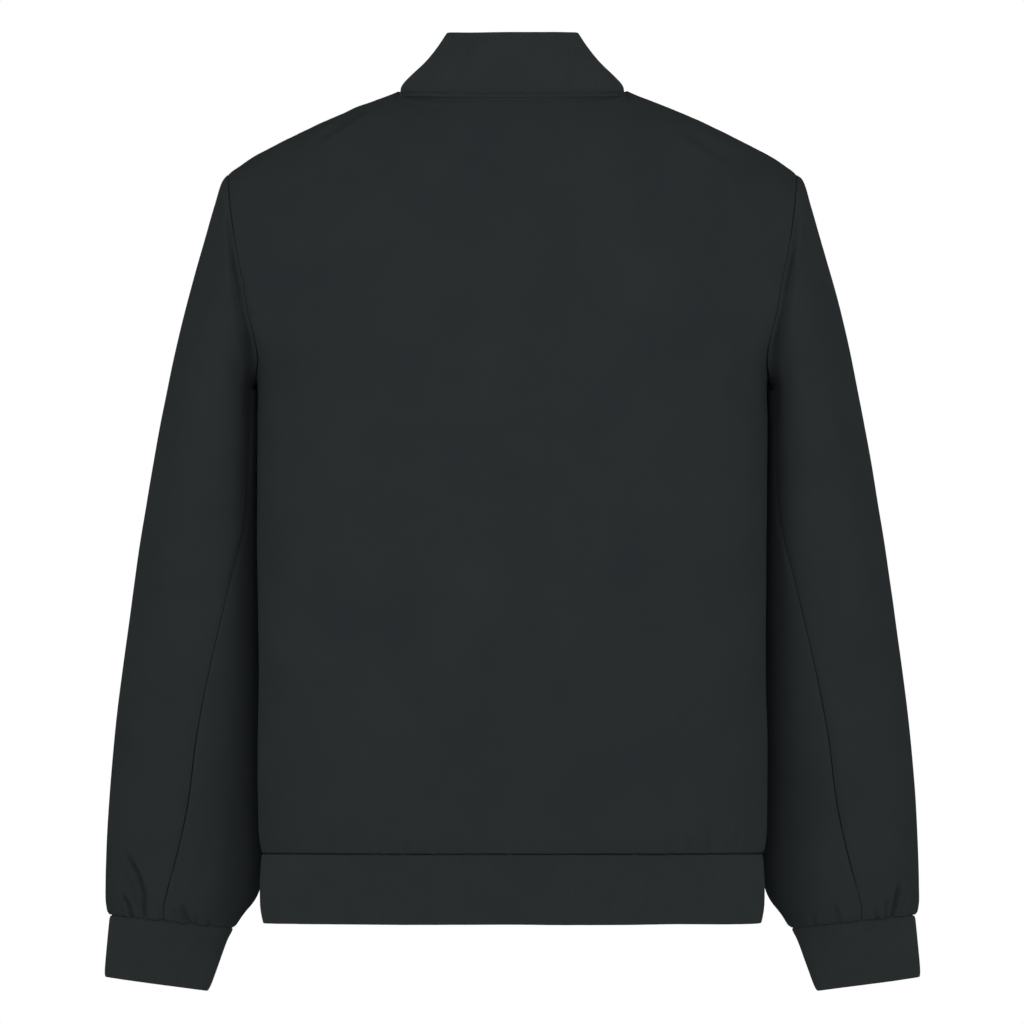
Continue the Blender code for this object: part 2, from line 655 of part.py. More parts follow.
def make_pull(collection):
    """The pull tab: a flat plate with an eye round the crown, its origin on the hinge's axis."""
    bar = PULL["thick"]
    outline = bpy.data.curves.new("pull_outline", "CURVE")
    outline.dimensions = "2D"
    outline.fill_mode = "BOTH"
    outline.extrude = PULL["thick"] / 2 * MM
    loops = (
        rounded_outline(PULL["width"], PULL["length"], -bar / 2, 1.6),
        rounded_outline(PULL["eye_width"], PULL["eye_length"], bar / 2, 0.4, 2),
    )
    for points in loops:
        spline = outline.splines.new("POLY")
        spline.points.add(len(points) - 1)
        for point, (x, z) in zip(spline.points, points):
            point.co = (x * MM, z * MM, 0, 1)
        spline.use_cyclic_u = True
    drawn = bpy.data.objects.new("pull_outline", outline)
    collection.objects.link(drawn)
    mesh = bpy.data.meshes.new_from_object(drawn.evaluated_get(bpy.context.evaluated_depsgraph_get()))
    bpy.data.objects.remove(drawn)
    shape = bmesh.new()
    shape.from_mesh(mesh)
    bmesh.ops.remove_doubles(shape, verts=shape.verts, dist=0.00001)
    shape.to_mesh(mesh)
    shape.free()
    mesh.materials.clear()
    pull = new_object("zip_pull", mesh, collection, METAL_COLOUR, 0.35, 1.0)
    bar_height = SLIDER["room"] / 2 + SLIDER["plate"] + CROWN["hole_height"] / 2
    upright = Matrix(((1, 0, 0), (0, 0, -1), (0, 1, 0))).to_4x4()  # the outline's y runs down the tape
    lean = Matrix.Rotation(math.radians(PULL["lean"]), 4, "X")
    frame = zip_frame(SLIDER["z"], FRONT_INSET)
    pull.matrix_world = frame @ Matrix.Translation((0, bar_height * MM, 0)) @ lean @ upright
    round_edges(pull, PULL["bevel"])
    print("hinge axis through", [round(c, 5) for c in pull.matrix_world.translation])


def make_box(collection):
    """The box that holds the closed zip's lower end."""
    frame = zip_frame(BOX["z"], HEM_INSET)
    out = TAPE["thick"] / 2 + SEAM_GAP + BOX["thick"] / 2
    size = (BOX["width"], BOX["thick"], BOX["length"])
    round_edges(block("zip_box", size, (0, out, 0), frame, collection, METAL_COLOUR, 0.35), BOX["bevel"])


def build():
    """Clears the scene and makes the jacket."""
    for old in list(bpy.data.objects):
        bpy.data.objects.remove(old, do_unlink=True)
    jacket = bpy.data.collections.new("bomber_jacket")
    cutters = bpy.data.collections.new("cutters")
    for collection in (jacket, cutters):
        bpy.context.scene.collection.children.link(collection)
    make_back(jacket)
    make_fronts(jacket)
    make_sleeves(jacket)
    make_cuffs(jacket)
    make_collar(jacket)
    make_hem(jacket)
    make_tapes(jacket)
    make_slider(jacket, cutters)
    make_pull(jacket)
    make_box(jacket)


build()
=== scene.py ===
# The looks of the bomber jacket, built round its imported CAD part.
# Tables and shapes are in millimetres, in the row frame: +Z up, the front faces -Y, the wearer's left is +X.

import math

import bmesh
import bpy
import numpy as np
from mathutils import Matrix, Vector


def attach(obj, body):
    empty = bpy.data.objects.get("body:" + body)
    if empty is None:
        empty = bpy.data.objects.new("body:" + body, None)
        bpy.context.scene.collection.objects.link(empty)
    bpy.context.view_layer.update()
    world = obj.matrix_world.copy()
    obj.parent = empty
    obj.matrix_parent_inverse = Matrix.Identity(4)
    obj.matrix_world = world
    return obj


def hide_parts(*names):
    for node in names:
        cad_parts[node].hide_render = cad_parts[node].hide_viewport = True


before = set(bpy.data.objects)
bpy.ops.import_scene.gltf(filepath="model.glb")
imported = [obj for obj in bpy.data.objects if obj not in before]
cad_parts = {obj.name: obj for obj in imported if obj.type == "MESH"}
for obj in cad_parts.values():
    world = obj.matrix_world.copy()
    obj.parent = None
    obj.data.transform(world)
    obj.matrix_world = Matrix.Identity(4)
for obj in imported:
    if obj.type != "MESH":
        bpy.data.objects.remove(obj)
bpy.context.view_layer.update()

mm = 0.001
halfTurn = math.pi
quarterTurn = math.pi / 2

# Walls and gaps, as on the CAD part
shellWall = 1.2
ribWall = 2.4
seamGap = 0.4
clothThick = 0.7  # of the drawn shell cloth, inside the CAD wall


def table(names, *rows):
    return {name: np.array(column, float) for name, column in zip(names.split(), zip(*rows))}


# The body's sections, from the shoulder blades down
bodyTable = table(
    "z    halfWidth  back  front  side  seam",
    (-153, 255.0, 117.5, -133.0, -8, -10),
    (-179, 244.0, 118.5, -143.0, -6, -10),
    (-198, 230.5, 119.0, -149.0, -4, -10),
    (-213, 219.5, 119.0, -152.5, -2, -10),
    (-225, 213.0, 119.0, -154.5, 0, -10),
    (-238, 210.6, 118.5, -156.0, 3, -10),
    (-270, 210.7, 117.0, -157.0, 8, -9),
    (-340, 210.2, 113.0, -154.0, 10, -8),
    (-420, 209.4, 109.0, -148.0, 10, -7),
    (-500, 208.9, 106.5, -141.0, 8, -6),
    (-545, 209.9, 106.0, -136.0, 6, -6),
    (-590, 209.6, 103.5, -129.0, 3, -6),
    (-615, 208.9, 98.5, -119.5, 0, -6),
    (-628.5, 206.9, 90.5, -106.5, -2, -6),
)
backSquare = 2.5
frontSquare = 2.25
blades = -153.0
underarm = -238.0
hemSeam = -628.5

hemTable = table(
    "z    halfWidth  back  front  side",
    (-628.8, 206.6, 89.6, -105.2, -2),
    (-658, 208.2, 88.0, -101.8, -2),
    (-676, 207.4, 87.4, -101.0, -2),
    (-685.8, 205.3, 86.4, -99.8, -2),
)

neckShape = {
    "halfWidth": 93.0,
    "back": 68.0,
    "side": -8.0,
    "front": -86.0,
    "zBack": -1.2,
    "zSide": 0.8,
    "zFront": -82.0,
}
neckDrop = 1.7  # how late the neckline drops, from its sides to its middles
neckSquare = 2.15
neckShare = 0.36
shoulderTable = table(
    "x    z      y",
    (93.0, 0.8, -8.0),
    (102.0, -2.2, -8.3),
    (113.5, -6.6, -8.6),
    (146.7, -20.0, -9.6),
    (188.2, -39.6, -10.8),
    (220.0, -56.6, -11.6),
    (235.0, -67.8, -12.0),
)
armholeMiddle = -10.0
armholeHalfDepth = 78.0
sleeveHead = 6.0
headTable = table(
    "turn x     z",
    (0, 0.62, -0.78),
    (60, 0.90, -0.44),
    (120, 0.96, -0.28),
    (150, 0.80, -0.50),
    (180, 0.50, -0.95),
)

leavingTable = table(
    "share x      back  backZ  front  frontZ",
    (0.00, 0.00, 0.74, -0.67, -0.56, -0.83),
    (0.12, 0.06, 0.78, -0.60, -0.62, -0.78),
    (0.24, 0.13, 0.88, -0.38, -0.78, -0.56),
    (0.36, 0.18, 0.96, -0.12, -0.96, -0.14),
    (0.52, 0.06, 1.00, -0.03, -1.00, -0.03),
    (0.75, 0.00, 1.00, 0.00, -1.00, 0.00),
    (1.00, 0.00, 1.00, 0.00, -1.00, 0.00),
)
edgePull = 3  # how late a panel's columns run out to the armhole
shoulderReach = 1.15  # of the curve over the shoulder, against its chord
yokeSigmas = (9.0, 6.0)

# Soft lobes of the filled back, the CAD's own first
lobes = table(
    "x     z     spreadX  spreadZ  height",
    (118, -275, 62, 120, 3.5),
    (-102, -330, 66, 190, 4.0),
    (185, -400, 22, 110, 1.5),
    (-188, -400, 20, 110, 1.5),
    (0, -590, 60, 60, -1.5),
)

# backSeam is the turn of the seam behind the sleeve. lean brings the inner side to the body: the CAD leaves a gap
# there, and the photograph doesn't.
sleeveTable = table(
    "outerX outerZ innerX innerZ  middle halfDepth  backSeam lean",
    (246.0, -94.0, 219.8, -247.5, -12.5, 79.0, 168, 17.0),
    (254.6, -124.0, 221.0, -254.5, -15.0, 80.5, 166, 18.5),
    (265.8, -164.0, 220.0, -263.5, -18.5, 81.0, 162, 18.5),
    (276.6, -208.0, 217.0, -278.0, -23.5, 80.0, 157, 17.0),
    (287.0, -257.0, 214.2, -302.0, -29.0, 78.0, 151, 15.0),
    (298.8, -320.0, 211.8, -347.0, -36.0, 74.0, 143, 13.0),
    (309.4, -386.0, 210.0, -407.0, -43.0, 69.0, 123, 11.5),
    (319.0, -452.0, 209.0, -470.0, -50.0, 64.0, 108, 10.0),
    (327.6, -518.0, 208.5, -534.0, -57.0, 59.0, 98, 8.5),
    (333.7, -584.0, 208.0, -599.0, -64.0, 53.5, 92, 6.5),
    (336.2, -630.0, 208.3, -645.0, -69.0, 48.0, 84, 3.0),
    (336.9, -655.0, 213.2, -667.0, -72.0, 43.5, 80.5, 0.0),
    (336.9, -671.0, 224.6, -681.5, -74.5, 38.5, 82, 0.0),
    (335.4, -680.2, 231.0, -691.4, -76.0, 34.0, 84.5, 0.0),
)
leanMiddle = -0.34
leanSpread = 0.55
restingGap = 1.4  # between the sleeve and the side it lies against
frontSeam = 240.0
sleeveSquare = 2.2

cuffTable = table(
    "outerX outerZ innerX innerZ  middle halfDepth",
    (333.4, -680.6, 231.0, -692.1, -76.0, 32.8),
    (334.6, -692.0, 236.5, -702.0, -77.4, 30.5),
    (336.6, -712.0, 244.0, -722.5, -79.8, 28.4),
    (337.8, -727.0, 250.2, -739.0, -81.8, 27.2),
    (336.9, -732.0, 253.6, -743.2, -82.4, 26.4),
)

collarTable = table(
    "rise halfWidth  back  front  side  zBack  zSide  zFront",
    (0.00, 93.0, 68.0, -86.0, -8.0, -1.0, 1.0, -81.7),
    (0.12, 90.6, 66.8, -86.8, -9.0, 5.0, 6.4, -76.0),
    (0.27, 85.0, 64.8, -87.8, -11.0, 12.4, 12.6, -69.0),
    (0.50, 72.0, 60.0, -89.6, -15.0, 24.4, 25.0, -58.5),
    (0.75, 61.6, 54.0, -91.4, -19.0, 37.0, 37.8, -46.5),
    (0.93, 55.6, 50.0, -92.6, -21.5, 46.0, 46.8, -38.0),
    (1.00, 53.8, 48.6, -93.0, -22.0, 48.7, 49.5, -35.5),
)
collarEnd = 0.012

zipOpening = 5.5
tapeShape = {"innerEdge": 1.2, "outerEdge": 16.0, "thick": 0.9, "top": 0.06}
frontInset = shellWall + seamGap
hemInset = ribWall + 2 * seamGap
sliderZ = -112.0
boxZ = -677.0


# 0 below 0, 1 above 1, and smooth between
def rising(share):
    share = np.clip(share, 0, 1)
    return share * share * (3 - 2 * share)


# A smooth curve through the values at the keys, read at where; keys rise
def follow(keys, values, where):
    where = np.clip(np.asarray(where, float), keys[0], keys[-1])
    deep = (1,) * (values.ndim - 1)
    steps = np.diff(keys)
    wide = steps.reshape(steps.shape + deep)
    slopes = np.diff(values, axis=0) / wide
    ends = np.empty(values.shape)
    ends[1:-1] = (slopes[:-1] * wide[1:] + slopes[1:] * wide[:-1]) / (wide[1:] + wide[:-1])
    ends[0] = 1.5 * slopes[0] - 0.5 * ends[1]
    ends[-1] = 1.5 * slopes[-1] - 0.5 * ends[-2]
    i = np.clip(np.searchsorted(keys, where, side="right") - 1, 0, len(steps) - 1)
    t = ((where - keys[i]) / steps[i]).reshape(where.shape + deep)
    step = steps[i].reshape(where.shape + deep)
    start = (1 + 2 * t) * (1 - t) ** 2 * values[i] + t * (1 - t) ** 2 * step * ends[i]
    return start + t * t * (3 - 2 * t) * values[i + 1] + t * t * (t - 1) * step * ends[i + 1]


def rowAt(rows, key, where):
    keys = rows[key]
    turned = -1 if keys[0] > keys[-1] else 1
    where = turned * np.asarray(where, float)
    return {name: follow(turned * keys, column, where) for name, column in rows.items()}


def roundSquare(angle, square):
    return (np.abs(np.cos(angle)) ** square + np.abs(np.sin(angle)) ** square) ** (-1 / square)


# Points of a body section: angle 0 is the middle of the back, half a turn the middle of the front
def section(rows, z, angle):
    z, angle = np.broadcast_arrays(np.asarray(z, float), np.asarray(angle, float))
    row = rowAt(rows, "z", z)
    back = angle < quarterTurn
    reach = roundSquare(angle, np.where(back, backSquare, frontSquare))
    deep = np.where(back, row["back"] - row["side"], row["side"] - row["front"])
    x = row["halfWidth"] * reach * np.sin(angle)
    return np.stack((x, row["side"] + deep * reach * np.cos(angle), z), -1)


# At a depth y: the body's row, whether y is behind the sides, and the shares of the depth and half width there
def sideShares(y, z):
    row = rowAt(bodyTable, "z", z)
    back = y > row["side"]
    square = np.where(back, backSquare, frontSquare)
    deep = np.where(back, row["back"] - row["side"], row["side"] - row["front"])
    share = np.minimum(np.abs(y - row["side"]) / deep, 1)
    return row, back, share, (1 - share**square) ** (1 / square)


def edgeAngle(z, y):
    _, back, deep, wide = sideShares(y, z)
    angle = np.arctan2(wide, deep)
    return np.where(back, angle, halfTurn - angle)


# How far out the body's side reaches at a depth y
def bodySide(y, z):
    row, _, _, wide = sideShares(y, z)
    return row["halfWidth"] * wide


def panelEdge(z, side):
    z = np.asarray(z, float)
    drop = np.clip((blades - z) / (blades - underarm), 0, 1)
    y = armholeMiddle + side * armholeHalfDepth * np.sqrt(1 - drop * drop)
    y = np.where(z <= underarm, rowAt(bodyTable, "z", z)["seam"], y)
    return edgeAngle(z, y)


# Points of the back (side 1) or a front (side -1), share across from the middle, below the blades
def bodyPoint(share, z, side):
    share, z = np.broadcast_arrays(np.asarray(share, float), np.asarray(z, float))

    def reach(level):
        return panelEdge(level, side) if side > 0 else halfTurn - panelEdge(level, side)

    drop = np.clip((blades - z) / (blades - underarm), 0, 1)
    calm = reach(blades) + (reach(underarm) - reach(blades)) * drop * drop * (3 - 2 * drop)
    full = reach(z)
    calm = np.where(z < underarm, full, calm)
    angle = share * calm + share**edgePull * (full - calm)
    return section(bodyTable, z, angle if side > 0 else halfTurn - angle)


# Points round the neck or the collar, angle 0 the middle of the back
def neckPoint(shape, angle):
    reach = roundSquare(angle, neckSquare)
    back = angle < quarterTurn
    end = np.where(back, shape["back"], shape["front"])
    y = shape["side"] + np.abs(end - shape["side"]) * reach * np.cos(angle)
    rise = np.abs(np.cos(angle)) ** neckDrop
    z = shape["zSide"] + rise * (np.where(back, shape["zBack"], shape["zFront"]) - shape["zSide"])
    return np.stack((shape["halfWidth"] * reach * np.sin(angle), y, z), -1)


def topEdge(share, side):
    share = np.asarray(share, float)
    angle = quarterTurn * np.minimum(share / neckShare, 1)
    neck = neckPoint(neckShape, angle if side > 0 else halfTurn - angle)
    along = np.clip((share - neckShare) / (1 - neckShare), 0, 1)
    xs = shoulderTable["x"]
    row = rowAt(shoulderTable, "x", xs[0] + along * (xs[-1] - xs[0]))
    shoulder = np.stack((row["x"], row["y"], row["z"]), -1)
    return np.where((share < neckShare)[..., None], neck, shoulder)


# Points between the top edge (down 0) and the blades (down 1), rounded over the shoulder
def yokePoint(share, down, side):
    share, down = np.broadcast_arrays(np.asarray(share, float), np.asarray(down, float))
    top = topEdge(share, side)
    low = bodyPoint(share, np.full(share.shape, blades), side)
    row = rowAt(leavingTable, "share", share)
    away = "back" if side > 0 else "front"
    leave = np.stack((row["x"], row[away], row[away + "Z"]), -1)
    arrive = bodyPoint(share, np.full(share.shape, blades - 1), side) - low
    size = shoulderReach * lengthOf(low - top)
    leave = leave * size / lengthOf(leave)
    arrive = arrive * size / lengthOf(arrive)
    t = down[..., None]
    u = 1 - t
    return (1 + 2 * t) * u * u * top + t * u * u * leave + t * t * (3 - 2 * t) * low - t * t * u * arrive


def lengthOf(vectors):
    return np.linalg.norm(vectors, axis=-1, keepdims=True)


def unit(vectors):
    return vectors / np.maximum(lengthOf(vectors), 1e-9)


# A body panel's rows: over the shoulder, round the armhole's lower half, and down to the hem
yokeRows = np.concatenate((np.linspace(0, 0.1, 25), 0.1 + 0.9 * np.linspace(0, 1, 38)[1:] ** 1.1))
armholeRows = blades + (underarm - blades) * np.sin(quarterTurn * np.arange(24) / 24)
bodyRows = np.concatenate((np.arange(underarm, -572, -4.4), np.arange(-572, hemSeam, -1.7), [hemSeam]))


# Evens out the yoke, which the corner at the neck point would otherwise crease all the way down
def evenedYoke(grid):
    for sigma in yokeSigmas:
        grid = evened(grid, sigma)
    return grid


def evened(grid, sigma):
    reach = int(3 * sigma)
    weights = np.exp(-0.5 * (np.arange(-reach, reach + 1) / sigma) ** 2)
    weights /= weights.sum()
    before = 2 * grid[:, :1] - grid[:, reach:0:-1]
    after = 2 * grid[:, -1:] - grid[:, -2 : -reach - 2 : -1]
    padded = np.concatenate((before, grid, after), axis=1)
    count = grid.shape[1]
    smooth = sum(w * padded[:, i : i + count] for i, w in enumerate(weights))
    normals = normalsOf(grid)
    off = ((smooth - grid) * normals).sum(-1)
    distances = edgeDistances(grid)
    share = np.clip(np.minimum(distances["left"], distances["right"]) / 25, 0, 1)
    ramp = rising(distances["top"] / 5) * share
    down = np.zeros(len(grid))
    down[: len(yokeRows)] = 1 - np.clip((yokeRows - 0.7) / 0.3, 0, 1) ** 2
    return grid + normals * (off * ramp * down[:, None])[..., None]


def panelGrid(shares, side):
    lowRows = np.concatenate((armholeRows, bodyRows))
    upper = yokePoint(np.abs(shares)[None], yokeRows[:-1, None], side)
    lower = bodyPoint(np.abs(shares)[None], lowRows[:, None], side)
    grid = np.concatenate((upper, lower))
    grid[..., 0] *= np.where(shares < 0, -1, 1)
    grid = evenedYoke(grid)
    if side > 0:
        for x, z, wide, tall, height in zip(*lobes.values()):
            grid[..., 1] += height * swelling(backFlat(grid), x, z, wide, tall)
    return grid


def backFlat(grid):
    return grid[..., (0, 2)]


# A soft lobe in the (x, z) plane, 1 high
def swelling(flat, x, z, wide, tall):
    return np.exp(-(((flat[..., 0] - x) / wide) ** 2) - ((flat[..., 1] - z) / tall) ** 2)


def armholePoint(turn):
    turn = np.asarray(turn, float) % 360
    made = np.empty(turn.shape + (3,))
    for side in (1, -1):
        quarter = turn / 90 if side > 0 else (360 - turn) / 90
        here = (turn <= 180) if side > 0 else (turn > 180)
        high = yokePoint(np.ones(turn.shape), np.clip(quarter, 0, 1), side)
        z = blades + (underarm - blades) * np.sin(quarterTurn * np.clip(quarter - 1, 0, 1))
        low = bodyPoint(np.ones(turn.shape), z, side)
        point = np.where((quarter < 1)[..., None], high, low)
        made[here] = point[here]
    return made


# Points of sleeve or cuff rings: turn 0 is the outer side, then the back, the inner side and the front
def ringPoint(row, turn, square=sleeveSquare):
    outer = np.array((row["outerX"], row["middle"], row["outerZ"]))
    inner = np.array((row["innerX"], row["middle"], row["innerZ"]))
    angle = np.radians(turn)[..., None]
    reach = roundSquare(angle, square)
    deep = np.array((0, row["halfDepth"], 0))
    inward = np.clip(-reach * np.cos(angle), 0, 1) ** 2
    off = (reach * np.sin(angle) - leanMiddle) / leanSpread
    leaning = row.get("lean", 0.0) * inward * np.exp(-(off**2))
    ring = (outer + inner) / 2 + reach * (np.cos(angle) * (outer - inner) / 2 + np.sin(angle) * deep)
    return ring - leaning * np.array((1, 0, 0))


def headPoint(turn):
    turn = np.asarray(turn, float)
    way = rowAt(headTable, "turn", np.minimum(turn % 360, 360 - turn % 360))
    return armholePoint(turn) + sleeveHead * np.stack((way["x"], np.zeros(turn.shape), way["z"]), -1)


def sleeveLengths():
    ends = np.array((0.0, 180.0))
    middles = [armholePoint(ends).mean(0), headPoint(ends).mean(0)]
    for i in range(len(sleeveTable["outerX"])):
        x = (sleeveTable["outerX"][i] + sleeveTable["innerX"][i]) / 2
        z = (sleeveTable["outerZ"][i] + sleeveTable["innerZ"][i]) / 2
        middles.append(np.array((x, sleeveTable["middle"][i], z)))
    steps = np.linalg.norm(np.diff(np.array(middles), axis=0), axis=1)
    return np.concatenate(([0], np.cumsum(steps)))


# One row of the left sleeve, down being the share of its length
def sleeveRow(turns, down, lengths):
    points = [armholePoint(turns), headPoint(turns)]
    for i in range(len(sleeveTable["outerX"])):
        points.append(ringPoint({name: column[i] for name, column in sleeveTable.items()}, turns))
    made = follow(lengths, np.array(points), down * lengths[-1])
    short = bodySide(made[..., 1], made[..., 2]) + restingGap - made[..., 0]
    below = np.clip((underarm - 2 - made[..., 2]) / 10, 0, 1)
    made[..., 0] += below * np.log1p(np.exp(np.clip(short, -30, 30)))
    return made


def backSeamAt(down, lengths):
    seam = sleeveTable["backSeam"]
    turns = np.concatenate((seam[:1], seam[:1], seam))
    return float(follow(lengths, turns, down * lengths[-1]))


# Smooth noise on a lattice, some -1 to 1
def softNoise(points, size, seed):
    lattice = np.random.default_rng(seed).uniform(-1, 1, (32, 32, 32))
    place = points / size
    cell = np.floor(place).astype(int)
    t = place - cell
    t = t * t * (3 - 2 * t)
    total = 0
    for corner in range(8):
        step = np.array((corner & 1, corner >> 1 & 1, corner >> 2 & 1))
        index = (cell + step) % 32
        weight = np.prod(np.where(step, t, 1 - t), axis=-1)
        total = total + weight * lattice[index[..., 0], index[..., 1], index[..., 2]]
    return total


# A fold along a line in the (x, z) plane: a soft trough with lower ridges beside it, fading at both ends
def crease(flat, line, width, depth, ridge=0.45, fade=0.25):
    line = np.array(line, float)
    spans = np.diff(line, axis=0)
    sizes = np.linalg.norm(spans, axis=1)
    starts = np.concatenate(([0], np.cumsum(sizes)))
    nearest = np.full(flat.shape[:-1], 1e9)
    signed = np.zeros(flat.shape[:-1])
    along = np.zeros(flat.shape[:-1])
    for start, span, size, before in zip(line[:-1], spans, sizes, starts):
        toPoint = flat - start
        t = np.clip(toPoint @ span / size**2, 0, 1)
        off = toPoint - t[..., None] * span
        away = np.hypot(off[..., 0], off[..., 1])
        side = span[0] * toPoint[..., 1] - span[1] * toPoint[..., 0]
        closer = away < nearest
        nearest = np.where(closer, away, nearest)
        signed = np.where(closer, np.sign(side) * away, signed)
        along = np.where(closer, before + t * size, along)
    share = along / starts[-1]
    ends = np.clip(np.minimum(share, 1 - share) / fade, 0, 1)
    ends = 0.25 + 0.75 * ends * ends * (3 - 2 * ends)
    q = signed / width
    shape = -np.exp(-q * q) + ridge * (np.exp(-((q - 1.9) ** 2)) + 0.7 * np.exp(-((q + 1.9) ** 2)))
    return depth * ends * shape


def creases(flat, rows, seed):
    vary = np.random.default_rng(seed)
    total = np.zeros(flat.shape[:-1])
    for line, width, depth in rows:
        total += crease(flat, line, width, depth, ridge=vary.uniform(0.3, 0.6))
    return total


def normalsOf(grid, closedColumns=False):
    if closedColumns:
        padded = np.concatenate((grid[:, -1:], grid, grid[:, :1]), axis=1)
        across = (padded[:, 2:] - padded[:, :-2]) / 2
    else:
        across = np.gradient(grid, axis=1)
    return unit(np.cross(across, np.gradient(grid, axis=0)))


# How far each point lies from its grid's edges, along its rows and columns
def edgeDistances(grid):
    across = np.cumsum(lengthOf(np.diff(grid, axis=1))[..., 0], axis=1)
    across = np.concatenate((np.zeros((len(grid), 1)), across), axis=1)
    down = np.cumsum(lengthOf(np.diff(grid, axis=0))[..., 0], axis=0)
    down = np.concatenate((np.zeros((1, grid.shape[1])), down))
    return {"left": across, "right": across[:, -1:] - across, "top": down, "bottom": down[-1:] - down}


# The groove that a seam or a line of stitches draws, at one distance from an edge
def groove(distance, place, depth, width):
    return depth * np.exp(-(((distance - place) / width) ** 2))


# The seam's shallow dip, and the small puckers its stitches draw across it
def seamDip(distances, edges, points, depth=0.55, pucker=0.22, seed=5):
    total = 0
    puckers = softNoise(points, 7.0, seed) + 0.6 * softNoise(points, 13.0, seed + 1)
    for edge in edges:
        away = distances[edge]
        total = total - groove(away, 0, depth, 2.6) + pucker * puckers * np.exp(-((away / 7.0) ** 2))
    return total


# How each kind of edge is turned in. A tongue is a seam allowance that runs on behind the next piece.
edgeTurns = {
    "side": {"depth": 5},
    "neck": {"depth": 0.3, "roll": 0.45},
    "rib": {"depth": 0.3},
    "zip": {"depth": 0.5, "gap": 0.0, "roll": 0.5},
    "sleeveSeam": {"depth": 4},
    "sleeveHead": {"depth": 0, "roll": 0.5, "tongue": 5.0},
}
tongueBehind = 1.9
tongueFoot = 0.8  # of the roll
firstFold = 0.4  # of the depth


def allTurnedIn(grid, normals, edges):
    for edge, kind in edges.items():
        grid, normals = turnedIn(grid, normals, edge, **edgeTurns[kind])
    return grid


# Turns a grid's edge in: it draws back from the seam, rolls over and runs inwards
def turnedIn(grid, normals, edge, depth, gap=0.12, roll=0.75, tongue=0.0):
    swapped = edge in ("left", "right")
    work = grid.swapaxes(0, 1) if swapped else grid
    norm = normals.swapaxes(0, 1) if swapped else normals
    first = edge in ("left", "top")
    if not first:
        work, norm = work[::-1], norm[::-1]
    out = unit(work[0] - work[1])
    n = norm[0]
    n = unit(n - out * (n * out).sum(-1, keepdims=True))
    line = work[0] - out * (gap + roll)
    rolled = [line + roll * (math.sin(a) * out - (1 - math.cos(a)) * n) for a in np.radians((90, 60, 30))]
    if tongue:
        far = line + out * (roll + tongue) - n * tongueBehind
        extra = np.array([far, line + out * roll * tongueFoot - n * tongueBehind] + rolled[1:])
    else:
        extra = np.array([rolled[0] - n * depth, rolled[0] - n * depth * firstFold] + rolled)
    normExtra = np.repeat(norm[:1], len(extra), axis=0)
    body = work.copy()
    body[0] = line
    work = np.concatenate((extra, body))
    norm = np.concatenate((normExtra, norm))
    if not first:
        work, norm = work[::-1], norm[::-1]
    if swapped:
        work, norm = work.swapaxes(0, 1), norm.swapaxes(0, 1)
    return work, norm


def newObject(name, mesh):
    made = bpy.data.objects.new(name, mesh)
    bpy.context.scene.collection.objects.link(made)
    return made


# A mesh of a grid of points, with a UV map of lengths along it in metres
def gridMesh(name, grid, closedRows=False, closedColumns=False, caps=False):
    rows, columns = grid.shape[:2]
    index = np.arange(rows * columns).reshape(rows, columns)
    down = np.append(index, index[:1], axis=0) if closedRows else index
    around = np.append(down, down[:, :1], axis=1) if closedColumns else down
    faces = np.stack((around[:-1, :-1], around[:-1, 1:], around[1:, 1:], around[1:, :-1]), -1).reshape(-1, 4)
    full = np.append(grid, grid[:1], axis=0) if closedRows else grid
    full = np.append(full, full[:, :1], axis=1) if closedColumns else full
    distances = edgeDistances(full)
    u = np.broadcast_to(distances["left"].mean(0), distances["left"].shape)
    v = np.broadcast_to(distances["top"].mean(1)[:, None], distances["top"].shape)
    uv = np.stack((u, -v), -1) * mm
    corners = np.stack((uv[:-1, :-1], uv[:-1, 1:], uv[1:, 1:], uv[1:, :-1]), -2).reshape(-1, 2)
    polygons = faces.tolist()
    if caps:
        polygons += [index[:, 0].tolist(), index[::-1, -1].tolist()]
        corners = np.concatenate((corners, uv[:rows, 0], uv[:rows, -1][::-1]))
    mesh = bpy.data.meshes.new(name)
    mesh.from_pydata((grid.reshape(-1, 3) * mm).tolist(), [], polygons)
    layer = mesh.uv_layers.new(name="UVMap")
    layer.data.foreach_set("uv", corners.astype(np.float32).ravel())
    mesh.shade_smooth()
    mesh.update()
    return mesh


def addNode(tree, kind, inputs=None, **settings):
    made = tree.nodes.new(kind)
    for name, value in settings.items():
        setattr(made, name, value)
    for name, value in (inputs or {}).items():
        if isinstance(value, bpy.types.NodeSocket):
            tree.links.new(value, made.inputs[name])
        else:
            made.inputs[name].default_value = value
    return made


# Linear colour of an sRGB hex value
def colour(text):
    parts = [int(text[i : i + 2], 16) / 255 for i in (1, 3, 5)]
    return tuple(p / 12.92 if p <= 0.04045 else ((p + 0.055) / 1.055) ** 2.4 for p in parts) + (1.0,)


def newMaterial(name):
    made = bpy.data.materials.new(name)
    made.use_nodes = True
    tree = made.node_tree
    tree.nodes.clear()
    shader = addNode(tree, "ShaderNodeBsdfPrincipled")
    addNode(tree, "ShaderNodeOutputMaterial", {"Surface": shader.outputs["BSDF"]})
    return made, tree, shader


# The UV map's lengths in millimetres, times a scale across and down
def millimetres(tree, across=1.0, down=1.0):
    uv = addNode(tree, "ShaderNodeUVMap", uv_map="UVMap")
    scale = (1000 * across, 1000 * down, 1000)
    return addNode(tree, "ShaderNodeMapping", {"Vector": uv.outputs["UV"], "Scale": scale})


